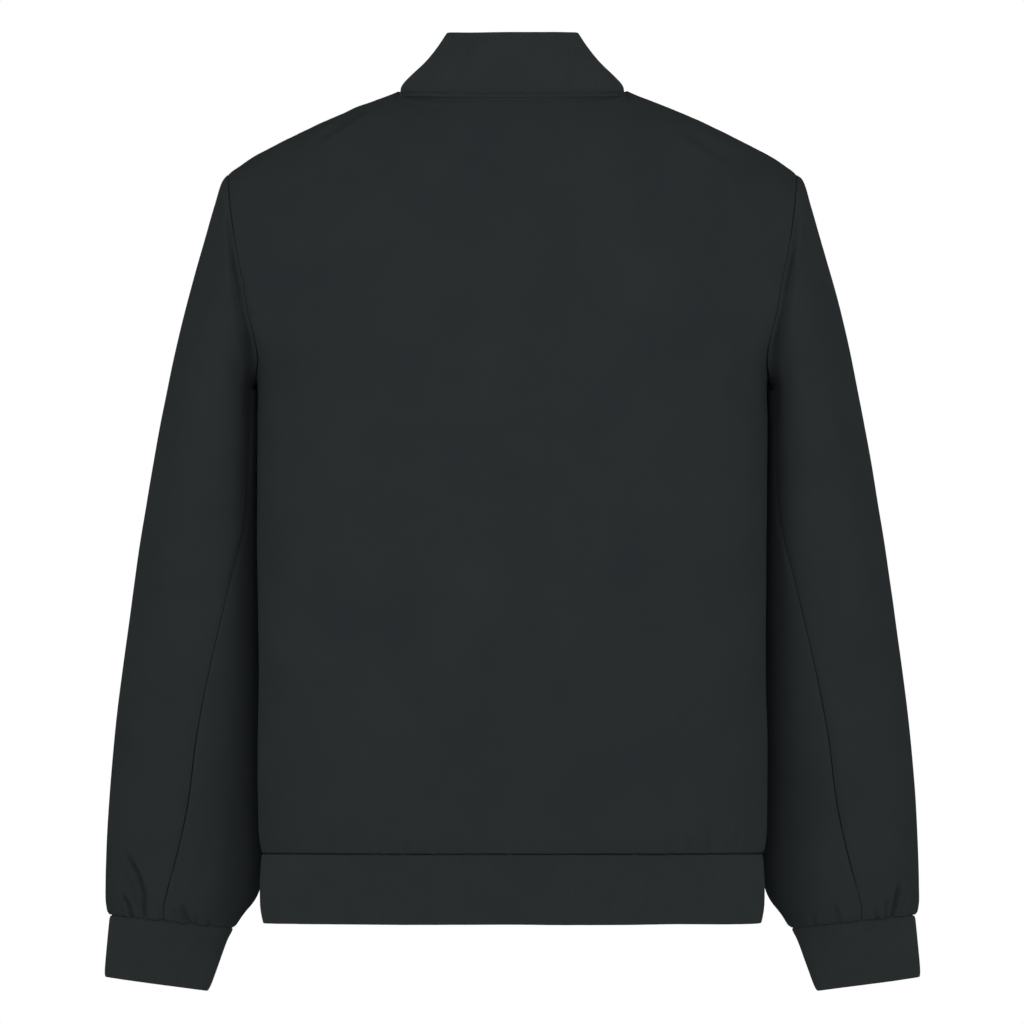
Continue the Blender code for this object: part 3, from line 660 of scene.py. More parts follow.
# Cloth whose colour drifts a little, as dyed cloth does, between two shades
def dyed(tree, dark, light, size):
    place = addNode(tree, "ShaderNodeTexCoord")
    soft = {"Vector": place.outputs["Object"], "Scale": 1000 / size, "Detail": 4.0, "Roughness": 0.6}
    drift = addNode(tree, "ShaderNodeTexNoise", soft)
    # sockets 6, 7 and 2 are the node's two colours and its mixed colour
    shades = {"Factor": drift.outputs["Fac"], 6: colour(dark), 7: colour(light)}
    return addNode(tree, "ShaderNodeMix", shades, data_type="RGBA").outputs[2]


# Joins the colour and the bump to a shader, and sets its other inputs
def finished(tree, shader, shade, bump, settings):
    tree.links.new(shade, shader.inputs["Base Color"])
    if bump:
        tree.links.new(bump.outputs["Normal"], shader.inputs["Normal"])
    for name, value in settings.items():
        shader.inputs[name].default_value = value


def bumped(tree, height, strength, distance, **more):
    return addNode(tree, "ShaderNodeBump", {"Height": height, "Strength": strength, "Distance": distance, **more})


waveRepeat = 0.314  # of a wave texture of scale 1


# A wave texture that repeats every so many millimetres
def waves(tree, place, every, way, distortion, **detail):
    bands = {"Vector": place.outputs["Vector"], "Scale": waveRepeat / every}
    bands.update(detail, Distortion=distortion)
    return addNode(tree, "ShaderNodeTexWave", bands, bands_direction=way)


# Plain-woven polyester, dyed dark slate and calendered. Its yarns are some 0.3 mm apart, too fine for this picture,
# so they are drawn 0.9 mm apart. It has no specular, which gave its edges bright rims that the photograph lacks.
def makeShellCloth():
    made, tree, shader = newMaterial("wovenPolyester_pieceDyedCalendered")
    place = millimetres(tree)
    warp, weft = (waves(tree, place, 0.9, way, 0.6, Detail=1.0) for way in "XY")
    weave = addNode(tree, "ShaderNodeMath", {0: warp.outputs["Fac"], 1: weft.outputs["Fac"]}, operation="ADD")
    fine = bumped(tree, weave.outputs[0], 0.35, 0.00006)
    slub = addNode(tree, "ShaderNodeTexNoise", {"Vector": place.outputs["Vector"], "Scale": 0.05, "Detail": 3.0})
    finished(
        tree,
        shader,
        dyed(tree, "#25282A", "#2A2E2E", 60),
        bumped(tree, slub.outputs["Fac"], 0.5, 0.0012, Normal=fine.outputs["Normal"]),
        {
            "Roughness": 0.55,
            "Diffuse Roughness": 0.6,
            "Specular IOR Level": 0.0,
            "Sheen Weight": 0.004,
            "Sheen Roughness": 0.45,
        },
    )
    return made


# Rib-knit cotton and elastane, dyed to match. The ribs are in the mesh, and the loops in the bump.
def makeRibKnit():
    made, tree, shader = newMaterial("ribKnitCotton_pieceDyed")
    place = millimetres(tree)
    loops = waves(tree, place, 1.1, "Y", 1.5, Detail=2.0)
    fuzz = addNode(tree, "ShaderNodeTexNoise", {"Vector": place.outputs["Vector"], "Scale": 1.5, "Detail": 3.0})
    knit = addNode(tree, "ShaderNodeMath", {0: loops.outputs["Fac"], 1: fuzz.outputs["Fac"]}, operation="ADD")
    bump = bumped(tree, knit.outputs[0], 0.25, 0.00012)
    finished(
        tree,
        shader,
        dyed(tree, "#282B2C", "#2D3030", 25),
        bump,
        {
            "Roughness": 0.85,
            "Diffuse Roughness": 1.0,
            "Specular IOR Level": 0.0,
            "Sheen Weight": 0.006,
            "Sheen Roughness": 0.5,
        },
    )
    return made


# Woven polyester zip tape, in herringbone
def makeTapeCloth():
    made, tree, shader = newMaterial("wovenPolyester_zipTape")
    place = millimetres(tree)
    rows = waves(tree, place, 0.8, "DIAGONAL", 1.0)
    bump = bumped(tree, rows.outputs["Fac"], 0.6, 0.00012)
    shade = dyed(tree, "#17191B", "#1C1F20", 12)
    finished(tree, shader, shade, bump, {"Roughness": 0.8, "Specular IOR Level": 0.2})
    return made


# Spun polyester sewing thread, a shade darker than the cloth
def makeThread():
    made, tree, shader = newMaterial("polyesterThread_spun")
    shade = dyed(tree, "#1B1E20", "#24282A", 3)
    finished(tree, shader, shade, None, {"Roughness": 0.6, "Specular IOR Level": 0.3})
    return made


# Die-cast zinc, plated in dark nickel and tumbled to a satin
def makeDarkNickel():
    made, tree, shader = newMaterial("dieCastZinc_darkNickelPlate")
    place = addNode(tree, "ShaderNodeTexCoord")
    fine = {"Vector": place.outputs["Object"], "Scale": 900.0, "Detail": 4.0}
    wear = addNode(tree, "ShaderNodeTexNoise", fine)
    satin = {"Value": wear.outputs["Fac"], "To Min": 0.26, "To Max": 0.42}
    rough = addNode(tree, "ShaderNodeMapRange", satin)
    bump = bumped(tree, wear.outputs["Fac"], 0.08, 0.0001)
    tree.links.new(rough.outputs["Result"], shader.inputs["Roughness"])
    finished(tree, shader, dyed(tree, "#6E6F72", "#7A7B7E", 4), bump, {"Metallic": 1.0})
    return made


shellCloth = makeShellCloth()
ribKnit = makeRibKnit()
tapeCloth = makeTapeCloth()
thread = makeThread()
darkNickel = makeDarkNickel()
print("materials made")


# Each slot's cloth, how it is held, and the wall that its one layer is given
cloths = {
    "shell": (shellCloth, "hung", clothThick),
    "rib": (ribKnit, "stretched", 0),
    "zip_tape": (tapeCloth, "hung", tapeShape["thick"]),
}


# One cloth piece on the jacket: its mesh with its slot's cloth and wall, attached to the jacket in place of its CAD
# part
def clothPiece(name, mesh, slot):
    material, held, wall = cloths[slot]
    mesh.materials.append(material)
    made = newObject(name + "_cloth", mesh)
    if wall:
        solid = made.modifiers.new("wall", "SOLIDIFY")
        solid.thickness = wall * mm
        solid.offset = -1
        solid.use_even_offset = False
    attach(made, "jacket")
    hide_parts(name)
    return made


# The back panel. Creases are read off the photograph: lines of (x, z), width and depth.
backPanel = {
    "columns": 176,
    "lobes": (
        (126, -275, 30, 85, 2.6),
        (-106, -350, 42, 150, 3.0),
        (196, -304, 9, 60, 1.0),
        (-194, -304, 9, 60, 1.0),
        (20, -330, 34, 150, -2.4),
        (160, -470, 26, 90, -1.6),
        (-175, -230, 20, 60, -1.6),
        (196, -100, 30, 34, -2.0),
        (-196, -96, 30, 34, -2.0),
        (60, -520, 40, 70, 0.9),
        (-209, -515, 8, 30, 0.6),
    ),
    "creases": (
        (((112, -11), (127, -18), (164, -43)), 2.4, 2.2),
        (((-140, -30), (-182, -58)), 4.5, 1.9),
        (((220, -105), (219, -113)), 2.0, 0.5),
        (((-127, -573), (-123, -597), (-122, -609), (-119, -620)), 2.4, 1.4),
        (((-89, -608), (-86, -627)), 2.0, 1.2),
        (((-187, -604), (-183, -628)), 2.2, 1.3),
        (((98, -5), (86, -11), (68, -14), (50, -13.5)), 1.5, 0.8),
        (((90, -14), (74, -18.5), (58, -18)), 1.6, 0.7),
        (((206, -150), (192, -205), (186, -262)), 9.0, 1.0),
        (((-206, -150), (-190, -215), (-186, -280)), 9.0, 1.0),
        (((40, -190), (36, -300), (48, -420)), 20.0, 0.8),
        (((150, -350), (172, -450), (176, -560)), 14.0, 0.8),
        (((-60, -440), (-40, -520), (-46, -590)), 16.0, 0.6),
    ),
    "hemPuckers": (111, 89, 62, 23, 0, -39, -72, -104, -130, -147, -163, -180, 150, 178),
    "topStitch": 6.0,
}


# The small folds that the rib draws into the cloth just above its seam
def hemPuckers(flat, places, seed):
    vary = np.random.default_rng(seed)
    total = np.zeros(flat.shape[:-1])
    for x in places:
        tall = vary.uniform(10, 30)
        lean = vary.uniform(-3, 3)
        line = ((x + lean, hemSeam + tall), (x, hemSeam + tall / 2), (x + vary.uniform(-1, 1), hemSeam - 2))
        total += crease(flat, line, vary.uniform(1.6, 2.6), vary.uniform(1.2, 2.2), ridge=0.5, fade=0.6)
    return total


# A piece's grid, its normals and the height of its folds, which keep off the seams it shares
def formed(grid, piece, seed, facing=None):
    normals = normalsOf(grid)
    flat = backFlat(grid)
    distances = edgeDistances(grid)
    calm = rising(np.minimum(np.minimum(distances["left"], distances["right"]), distances["top"]) / 5)
    height = 0.7 * softNoise(grid, 95.0, seed) + 0.18 * softNoise(grid, 34.0, seed + 1)
    height *= rising(distances["bottom"] / 5)
    here = 1.0 if facing is None else np.clip(facing * normals[..., 1] * 2.5 + 0.2, 0, 1)
    for x, z, wide, tall, high in piece.get("lobes", ()):
        height += here * high * swelling(flat, x, z, wide, tall)
    height += here * creases(flat, piece.get("creases", ()), seed + 2)
    height *= calm
    for line, width, depth in piece.get("folds", ()):
        near = rising((distances["top"] - 0.5) / 4)
        height += here * near * crease(flat, line, width, depth, ridge=0.06, fade=0.3)
    return grid, normals, height


def makeBack():
    shares = np.linspace(-1, 1, backPanel["columns"] + 1)
    grid = panelGrid(shares, 1)
    grid, normals, height = formed(grid, backPanel, 11)
    height += hemPuckers(backFlat(grid), backPanel["hemPuckers"], 12)
    distances = edgeDistances(grid)
    height += seamDip(distances, ("left", "right", "top", "bottom"), grid)
    stitched = backPanel["topStitch"]
    height -= groove(distances["top"], stitched, 0.7, 1.0) * (np.abs(shares) < neckShare)[None]
    shaped = grid + normals * height[..., None]
    stitchLine = lineAtDepth(shaped, normals, distances["top"], stitched, np.abs(shares) < neckShare - 0.004)
    work = allTurnedIn(shaped, normals, {"left": "side", "right": "side", "top": "neck", "bottom": "rib"})
    clothPiece("back", gridMesh("back_cloth", work), "shell")
    return stitchLine


# The points of a grid, and their normals, where each column lies one length down from its top
def lineAtDepth(grid, normals, depths, depth, used):
    points, outward = [], []
    for column in np.flatnonzero(used):
        where = np.interp(depth, depths[:, column], np.arange(len(grid)))
        i = int(where)
        t = where - i
        points.append(grid[i, column] * (1 - t) + grid[i + 1, column] * t)
        outward.append(unit(normals[i, column] * (1 - t) + normals[i + 1, column] * t))
    return np.array(points), np.array(outward)


# The fronts, plain, with their own soft folds
frontPanel = {
    "columns": 88,
    "zipStitch": 7.0,
    "lobes": (
        (96, -250, 46, 90, 2.2),
        (110, -430, 50, 120, 1.6),
        (48, -340, 26, 90, -1.2),
        (180, -380, 22, 110, 1.0),
    ),
    "creases": (
        (((118, -22), (140, -40), (170, -60)), 4.5, 1.0),
        (((28, -110), (44, -200), (40, -300)), 10.0, 0.9),
        (((204, -150), (190, -215), (186, -280)), 9.0, 1.0),
        (((150, -360), (170, -460), (176, -560)), 13.0, 0.8),
        (((120, -574), (122, -600), (118, -622)), 3.0, 0.8),
        (((66, -560), (60, -590), (64, -622)), 4.0, 0.7),
    ),
    "hemPuckers": (182, 163, 148, 131, 104, 88, 71, 52, 36, 22),
}


def shareAt(x, upper, level):
    probe = np.full(np.shape(level), 0.05)
    point = yokePoint(probe, level, -1) if upper else bodyPoint(probe, level, -1)
    return 0.05 * x / point[..., 0]


def frontGrid(columns):
    lowRows = np.concatenate((armholeRows, bodyRows))
    spread = np.linspace(0, 1, columns + 1)[None]
    first = shareAt(zipOpening, True, yokeRows[:-1])[:, None]
    upper = yokePoint(first + (1 - first) * spread, yokeRows[:-1, None], -1)
    first = shareAt(zipOpening, False, lowRows)[:, None]
    lower = bodyPoint(first + (1 - first) * spread, lowRows[:, None], -1)
    return evenedYoke(np.concatenate((upper, lower)))


def mirroredGrid(grid):
    return (grid * np.array((-1, 1, 1)))[:, ::-1]


# Folds for one hand, from those of the left: turned over, moved, and shallower by a share
def handed(rows, hand, move=(0, 0), share=1.0):
    made = []
    for line, width, depth in rows:
        made.append(([(hand * x + move[0], z + move[1]) for x, z in line], width, share * depth))
    return made


def makeFronts():
    stitchLines = []
    for name, hand, seed in (("front_left", 1, 21), ("front_right", -1, 31)):
        base = frontGrid(frontPanel["columns"])
        grid = base[:, ::-1] if hand > 0 else base * np.array((-1, 1, 1))
        piece = dict(frontPanel)
        if hand < 0:
            rows = frontPanel["lobes"]
            piece["lobes"] = [(-x, z - 26, wide, tall, 0.85 * high) for x, z, wide, tall, high in rows]
            piece["creases"] = handed(frontPanel["creases"], hand, (-3, -12), 0.9)
        grid, normals, height = formed(grid, piece, seed)
        zipEdge, sideEdge = ("right", "left") if hand > 0 else ("left", "right")
        distances = edgeDistances(grid)
        height *= np.clip(distances[zipEdge] / 16, 0, 1)
        height += hemPuckers(backFlat(grid), [hand * x for x in frontPanel["hemPuckers"]], seed + 5)
        height += seamDip(distances, (sideEdge, "top", "bottom"), grid)
        height -= groove(distances[zipEdge], frontPanel["zipStitch"], 0.3, 1.2)
        shaped = grid + normals * height[..., None]
        turned, turnedNormals = shaped.swapaxes(0, 1), normals.swapaxes(0, 1)
        used = np.ones(len(grid), bool)
        depths = distances[zipEdge].T
        if zipEdge == "right":
            turned, turnedNormals, depths = turned[::-1], turnedNormals[::-1], depths[::-1]
        stitchLines.append(lineAtDepth(turned, turnedNormals, depths, frontPanel["zipStitch"], used))
        edges = {zipEdge: "zip", sideEdge: "side", "top": "neck", "bottom": "rib"}
        work = allTurnedIn(shaped, normals, edges)
        clothPiece(name, gridMesh(name + "_cloth", work), "shell")
    return stitchLines


# Sleeves. The creases are those of the photograph's left sleeve and right sleeve, in (x, z).
sleevePieces = {
    "topColumns": 124,
    "underColumns": 60,
    "rows": np.concatenate(
        (
            np.linspace(0, 0.03, 13),
            np.linspace(0.036, 0.3, 44),
            np.linspace(0.309, 0.86, 56),
            np.linspace(0.8675, 1, 50),
        )
    ),
    # where the sleeve tucks in behind the body, from the armhole's lower half down
    "tucks": (
        (
            ((234, -104), (230, -122), (226, -146), (221.5, -172), (216, -197), (214, -222), (216, -246)),
            5.0,
            9.5,
        ),
        (((238, -100), (235, -122), (231, -148), (228, -172)), 3.0, 1.6),
    ),
    "left": (
        (((321, -626), (310, -645), (304.5, -662), (304.5, -688)), 2.0, 4.2),
        (((323, -661), (317, -673), (312, -688)), 1.7, 3.4),
        (((309, -670), (310, -688)), 1.5, 1.6),
        (((278, -636), (277.5, -660), (280, -692)), 2.4, 1.9),
        (((275, -668), (264, -695)), 1.9, 3.6),
        (((259, -677), (263, -697)), 1.7, 1.7),
        (((252, -682), (246, -697)), 1.8, 1.9),
        (((291, -669), (289, -694)), 1.8, 1.9),
        (((262, -300), (256, -350), (262, -410)), 15.0, 1.3),
        (((296, -420), (288, -480), (296, -560)), 15.0, 1.2),
        (((236, -470), (246, -520), (240, -590)), 12.0, 1.1),
        (((250, -610), (258, -650), (270, -668)), 7.0, 1.1),
    ),
    "right": (
        (((-321, -652), (-317, -668), (-312, -688)), 2.0, 4.0),
        (((-310, -666), (-309, -688)), 1.7, 2.8),
        (((-300, -672), (-303, -690)), 1.7, 1.8),
        (((-266, -670), (-273, -695)), 1.9, 3.4),
        (((-247, -680), (-252, -697)), 1.8, 1.8),
        (((-281, -640), (-284, -662), (-287, -692)), 2.4, 2.6),
        (((-258, -310), (-252, -370), (-262, -440)), 15.0, 1.2),
        (((-298, -440), (-290, -500), (-300, -580)), 14.0, 1.2),
        (((-240, -500), (-250, -550), (-244, -610)), 12.0, 1.1),
        (((-262, -620), (-270, -650), (-286, -668)), 7.0, 1.0),
    ),
    "hidden": (
        (((286, -330), (272, -380), (280, -450)), 14.0, 1.3),
        (((250, -430), (262, -480), (254, -560)), 12.0, 1.2),
        (((310, -560), (296, -620), (300, -680)), 5.0, 1.2),
        (((262, -640), (272, -684)), 3.0, 1.0),
        (((240, -655), (246, -690)), 3.0, 0.8),
    ),
}


def makeSleeves():
    lengths = sleeveLengths()
    top, under = [], []
    for down in sleevePieces["rows"]:
        seam = backSeamAt(down, lengths)
        turns = np.linspace(frontSeam - 360, seam, sleevePieces["topColumns"] + 1)
        top.append(sleeveRow(turns, down, lengths))
        turns = np.linspace(seam, frontSeam, sleevePieces["underColumns"] + 1)
        under.append(sleeveRow(turns, down, lengths))
    for piece, rows, seed in (("top", top, 41), ("under", under, 51)):
        base = np.array(rows)[:, ::-1]
        for hand, name in ((1, "sleeve_left_" + piece), (-1, "sleeve_right_" + piece)):
            grid = base if hand > 0 else mirroredGrid(base)
            tucks = handed(sleevePieces["tucks"], hand)
            seen = {"creases": sleevePieces["left" if hand > 0 else "right"], "folds": tucks}
            hidden = {"creases": handed(sleevePieces["hidden"], hand), "folds": tucks}
            seed += 7
            grid, normals, height = formed(grid, seen, seed, facing=1)
            height += formed(grid, hidden, seed + 3, facing=-1)[2] * 0.8
            distances = edgeDistances(grid)
            height += gathers(distances["bottom"], grid, seed)
            height += seamDip(distances, ("left", "right"), grid, depth=0.7)
            height += seamDip(distances, ("top",), grid, depth=0.4)
            height -= groove(distances["bottom"], 0, 1.3, 2.2)
            edges = {"left": "sleeveSeam", "right": "sleeveSeam", "bottom": "rib", "top": "sleeveHead"}
            work = allTurnedIn(grid + normals * height[..., None], normals, edges)
            clothPiece(name, gridMesh(name + "_cloth", work), "shell")


# Small uneven gathers where the cuff draws the sleeve in
def gathers(distance, grid, seed):
    angle = np.arctan2(grid[..., 1] + 75, np.abs(grid[..., 0]) - 282)
    vary = np.random.default_rng(seed)
    waves = sum(vary.uniform(0.5, 1) * np.sin(n * angle + vary.uniform(0, 6.3)) for n in (9, 14, 19))
    return 0.32 * waves * np.exp(-((distance - 4) / 13) ** 2)


# A doubled rib band from its outside: rows run from the seam to the free edge, roll over and come back inside
ribShape = {"pitch": 2.0, "depth": 0.24, "columnsPerRib": 5, "innerRows": 2}
# its seam allowance, a tongue behind the shell's turned-in edge
ribTongue = {"length": 4.0, "behind": 1.75, "foot": 0.1, "footBehind": 1.6}


def ribBand(outer, closedColumns):
    normals = normalsOf(outer, closedColumns)
    wall = ribWall - 0.3
    roll = wall / 2
    out = unit(outer[-1] - outer[-2])
    edge = outer[-1] - out * roll
    turnAngles = np.radians((30, 60, 90, 120, 150, 180))
    rolled = [edge + roll * (math.sin(a) * out - (1 - math.cos(a)) * normals[-1]) for a in turnAngles]
    rollNormals = [math.cos(a) * normals[-1] + math.sin(a) * out for a in turnAngles]
    picks = np.linspace(len(outer) - 3, 0, ribShape["innerRows"]).round().astype(int)
    inner = [outer[i] - wall * normals[i] for i in picks]
    innerNormals = [-normals[i] for i in picks]
    back = unit(outer[0] - outer[1])
    end = outer[0] + ribTongue["length"] * back - ribTongue["behind"] * normals[0]
    foot = outer[0] + ribTongue["foot"] * back - ribTongue["footBehind"] * normals[0]
    inside = outer[0] + ribTongue["length"] * back - wall * normals[0]
    grid = np.concatenate(([end, foot], outer[:-1], [edge], rolled, inner, [inside]))
    norm = np.concatenate((normals[:1], normals[:1], normals, rollNormals, innerNormals, -normals[:1]))
    phase = np.arange(outer.shape[1]) / ribShape["columnsPerRib"]
    ribs = np.abs(np.cos(math.pi * phase)) ** 0.8
    wobble = 1 + 0.25 * softNoise(grid, 9.0, 71)
    height = ribShape["depth"] * (ribs[None] * wobble - 0.6)
    seam = lengthOf(np.diff(outer, axis=0))[..., 0].cumsum(0)
    away = np.concatenate((np.zeros((1, outer.shape[1])), seam))
    height[2 : len(outer) + 2] -= groove(away, 0, 0.6, 1.8)
    height[[0, 1, -1]] = 0
    height += 0.35 * softNoise(grid, 45.0, 72)
    return grid + norm * height[..., None]


# Columns spaced evenly along a line of points, a whole number to each rib
def evenly(curve, closed):
    dense = curve(np.linspace(0, 1, 2001))
    steps = lengthOf(np.diff(dense, axis=0))[..., 0]
    along = np.concatenate(([0], np.cumsum(steps)))
    ribs = max(8, round(along[-1] / ribShape["pitch"]))
    count = ribs * ribShape["columnsPerRib"]
    where = np.linspace(0, along[-1], count + 1)
    where = where[:-1] if closed else where
    return np.interp(where, along, np.linspace(0, 1, 2001))


def signedX(points, angle):
    points[..., 0] *= np.where(angle < 0, -1, 1)
    return points


def makeCollar():
    end = halfTurn - collarEnd

    def ring(rise, angle):
        row = rowAt(collarTable, "rise", np.full(angle.shape, rise))
        return signedX(neckPoint(row, np.abs(angle)), angle)

    spread = evenly(lambda s: ring(0.4, (2 * s - 1) * end), False)
    angles = (2 * spread - 1) * end
    rises = np.concatenate((np.linspace(0, 0.08, 5), np.linspace(0.12, 1, 17)))
    outer = np.array([ring(rise, angles) for rise in rises])
    # rows run up here, so the across direction is reversed to keep the outside out
    outer = outer[:, ::-1]
    band = ribBand(outer, False)
    mesh = gridMesh("collar_cloth", band, closedRows=True, caps=True)
    clothPiece("collar", mesh, "rib")


def makeHem():
    def ring(z, x):
        # x runs from -1 to 1 round the back, between the zip's two sides
        halfWidth = float(rowAt(hemTable, "z", z)["halfWidth"])
        angle = x * (halfTurn - math.atan2(zipOpening / halfWidth, 1))
        return signedX(section(hemTable, np.full(angle.shape, z), np.abs(angle)), angle)

    spread = evenly(lambda s: ring(-650.0, 2 * s - 1), False)
    levels = np.concatenate((np.linspace(-628.8, -632, 5), np.linspace(-635, -685.8, 11)))
    outer = np.array([ring(float(z), 2 * spread - 1) for z in levels])
    band = ribBand(outer, False)
    mesh = gridMesh("hem_cloth", band, closedRows=True, caps=True)
    clothPiece("hem_band", mesh, "rib")


def makeCuffs():
    keys = np.arange(len(cuffTable["middle"]), dtype=float)

    def ring(level, turns):
        row = {name: float(follow(keys, column, level)) for name, column in cuffTable.items()}
        return ringPoint(row, turns)

    spread = evenly(lambda s: ring(1.5, -360 * s), True)
    levels = np.concatenate((np.linspace(0, 0.3, 5), np.linspace(0.45, 4, 15)))
    base = np.array([ring(level, -360 * spread) for level in levels])
    for hand, name in ((1, "cuff_left"), (-1, "cuff_right")):
        outer = base if hand > 0 else mirroredGrid(base)
        band = ribBand(outer, True)
        mesh = gridMesh(name + "_cloth", band, closedRows=True, closedColumns=True)
        clothPiece(name, mesh, "rib")


# The zip's line down the middle of the front: rows for the fronts, then for the hem band behind it
def zipRows(x):
    ups = np.linspace(tapeShape["top"], 1, 30)[:-1]
    lows = np.concatenate((armholeRows[::2], np.arange(underarm, hemSeam + 6, -6.0)))
    rows = [yokePoint(shareAt(x, True, ups), ups, -1), bodyPoint(shareAt(x, False, lows), lows, -1)]
    hems = np.linspace(-634, -685.8, 12)
    rows.append(section(hemTable, hems, halfTurn - x / hemTable["halfWidth"][0]))
    insets = np.concatenate((np.full(len(ups) + len(lows), frontInset), np.full(len(hems), hemInset)))
    return np.concatenate(rows), insets


def makeTapes():
    inner = np.linspace(tapeShape["innerEdge"], 2.4, 4)
    columns = np.concatenate((inner, np.linspace(3.4, tapeShape["outerEdge"], 9)))
    lines = [zipRows(x) for x in columns]
    grid = np.array([line for line, _ in lines]).swapaxes(0, 1)
    insets = lines[0][1]
    insets = np.convolve(np.pad(insets, 2, mode="edge"), np.ones(5) / 5, mode="valid")
    out = unit(np.cross(np.gradient(grid, axis=0), np.gradient(grid, axis=1)))
    grid = grid - out * insets[:, None, None]
    for hand, name in ((1, "zip_tape_left"), (-1, "zip_tape_right")):
        shown = grid[:, ::-1] if hand > 0 else mirroredGrid(grid[:, ::-1])
        mesh = gridMesh(name + "_cloth", shown)
        clothPiece(name, mesh, "zip_tape")
    # the line of the teeth, in the tapes' middle plane
    line, out = (grid * np.array((0, 1, 1)))[:, 0], out[:, 0] * np.array((0, 1, 1))
    return line - unit(out) * tapeShape["thick"] / 2, unit(out)


# A Geometry Nodes tree that sets one item along a line at even steps, its Z along the line and its Y outwards
def rowTree():
    tree = bpy.data.node_groups.new("rowAlongPath", "GeometryNodeTree")
    face = tree.interface
    face.new_socket("Geometry", in_out="INPUT", socket_type="NodeSocketGeometry")
    item = face.new_socket("Item", in_out="INPUT", socket_type="NodeSocketObject")
    step = face.new_socket("Step", in_out="INPUT", socket_type="NodeSocketFloat")
    finish = face.new_socket("Finish", in_out="INPUT", socket_type="NodeSocketMaterial")
    face.new_socket("Geometry", in_out="OUTPUT", socket_type="NodeSocketGeometry")
    given = addNode(tree, "NodeGroupInput")
    curve = addNode(tree, "GeometryNodeMeshToCurve", {"Mesh": given.outputs["Geometry"]})
    spaced = {"Curve": curve.outputs["Curve"], "Length": given.outputs["Step"]}
    even = addNode(tree, "GeometryNodeResampleCurve", spaced, mode="LENGTH")
    tangent = addNode(tree, "GeometryNodeInputTangent")
    outward = addNode(tree, "GeometryNodeInputNamedAttribute", {"Name": "outward"}, data_type="FLOAT_VECTOR")
    align = "FunctionNodeAlignRotationToVector"
    along = addNode(tree, align, {"Vector": tangent.outputs["Tangent"]}, axis="Z")
    facing = {"Rotation": along.outputs["Rotation"], "Vector": outward.outputs["Attribute"]}
    turned = addNode(tree, align, facing, axis="Y", pivot_axis="Z")
    info = addNode(tree, "GeometryNodeObjectInfo", {"Object": given.outputs["Item"], "As Instance": True})
    items = {
        "Points": even.outputs["Curve"],
        "Instance": info.outputs["Geometry"],
        "Rotation": turned.outputs["Rotation"],
    }
    placed = addNode(tree, "GeometryNodeInstanceOnPoints", items)
    real = addNode(tree, "GeometryNodeRealizeInstances", {"Geometry": placed.outputs["Instances"]})
    paint = {"Geometry": real.outputs["Geometry"], "Material": given.outputs["Finish"]}
    painted = addNode(tree, "GeometryNodeSetMaterial", paint)
    addNode(tree, "NodeGroupOutput", {"Geometry": painted.outputs["Geometry"]})
    return tree, {"item": item.identifier, "step": step.identifier, "finish": finish.identifier}


itemRow, itemSockets = rowTree()


def rowAlongPath(name, points, outward, item, step, finish, slot=None):
    path = bpy.data.meshes.new(name + "_path")
    path.from_pydata((points * mm).tolist(), [(i, i + 1) for i in range(len(points) - 1)], [])
    facing = path.attributes.new("outward", "FLOAT_VECTOR", "POINT")
    facing.data.foreach_set("vector", outward.astype(np.float32).ravel())
    holder = newObject(name + "_path", path)
    row = holder.modifiers.new("row", "NODES")
    row.node_group = itemRow
    for socket, value in (("item", item), ("step", step * mm), ("finish", finish)):
        row[itemSockets[socket]] = value
    holder.update_tag()
    graph = bpy.context.evaluated_depsgraph_get()
    mesh = bpy.data.meshes.new_from_object(holder.evaluated_get(graph), depsgraph=graph)
    mesh.name = name
    bpy.data.objects.remove(holder)
    made = newObject(name, mesh)
    if not mesh.materials or mesh.materials[0] is None:
        mesh.materials.clear()
        mesh.materials.append(finish)
    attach(made, "jacket")
    print(name, len(mesh.polygons), "faces")
    return made


# A small rounded item, made of a box with bevelled edges, and kept out of the picture
def smallItem(name, size, bevel, segments=2):
    shape = bmesh.new()
    bmesh.ops.create_cube(shape, size=1)
    bmesh.ops.scale(shape, vec=Vector(size) * mm, verts=shape.verts)
    rounding = {"offset": bevel * mm, "segments": segments, "affect": "EDGES", "profile": 0.5}
    bmesh.ops.bevel(shape, geom=shape.edges[:], **rounding)
    mesh = bpy.data.meshes.new(name)
    shape.to_mesh(mesh)
    shape.free()
    mesh.shade_smooth()
    return newObject(name, mesh)


# Stitches and zip teeth
stitch = {"length": 2.2, "thick": 0.5, "step": 3.0, "sunk": 0.05}
teeth = {"pitch": 2.6, "width": 3.0, "thick": 2.0, "tall": 1.15, "apart": 0.55}
# above the slider, where the two rows stand apart
teeth.update({"apartAbove": 2.1, "topZ": -90.5})


def makeStitches(neckLine, zipLines):
    item = smallItem("stitch_item", (stitch["thick"], stitch["thick"], stitch["length"]), 0.16)
    names = ("stitches_neck", "stitches_front_left", "stitches_front_right")
    for name, (points, outward) in zip(names, [neckLine] + zipLines):
        rowAlongPath(name, points - outward * stitch["sunk"], outward, item, stitch["step"], thread)
    bpy.data.objects.remove(item)


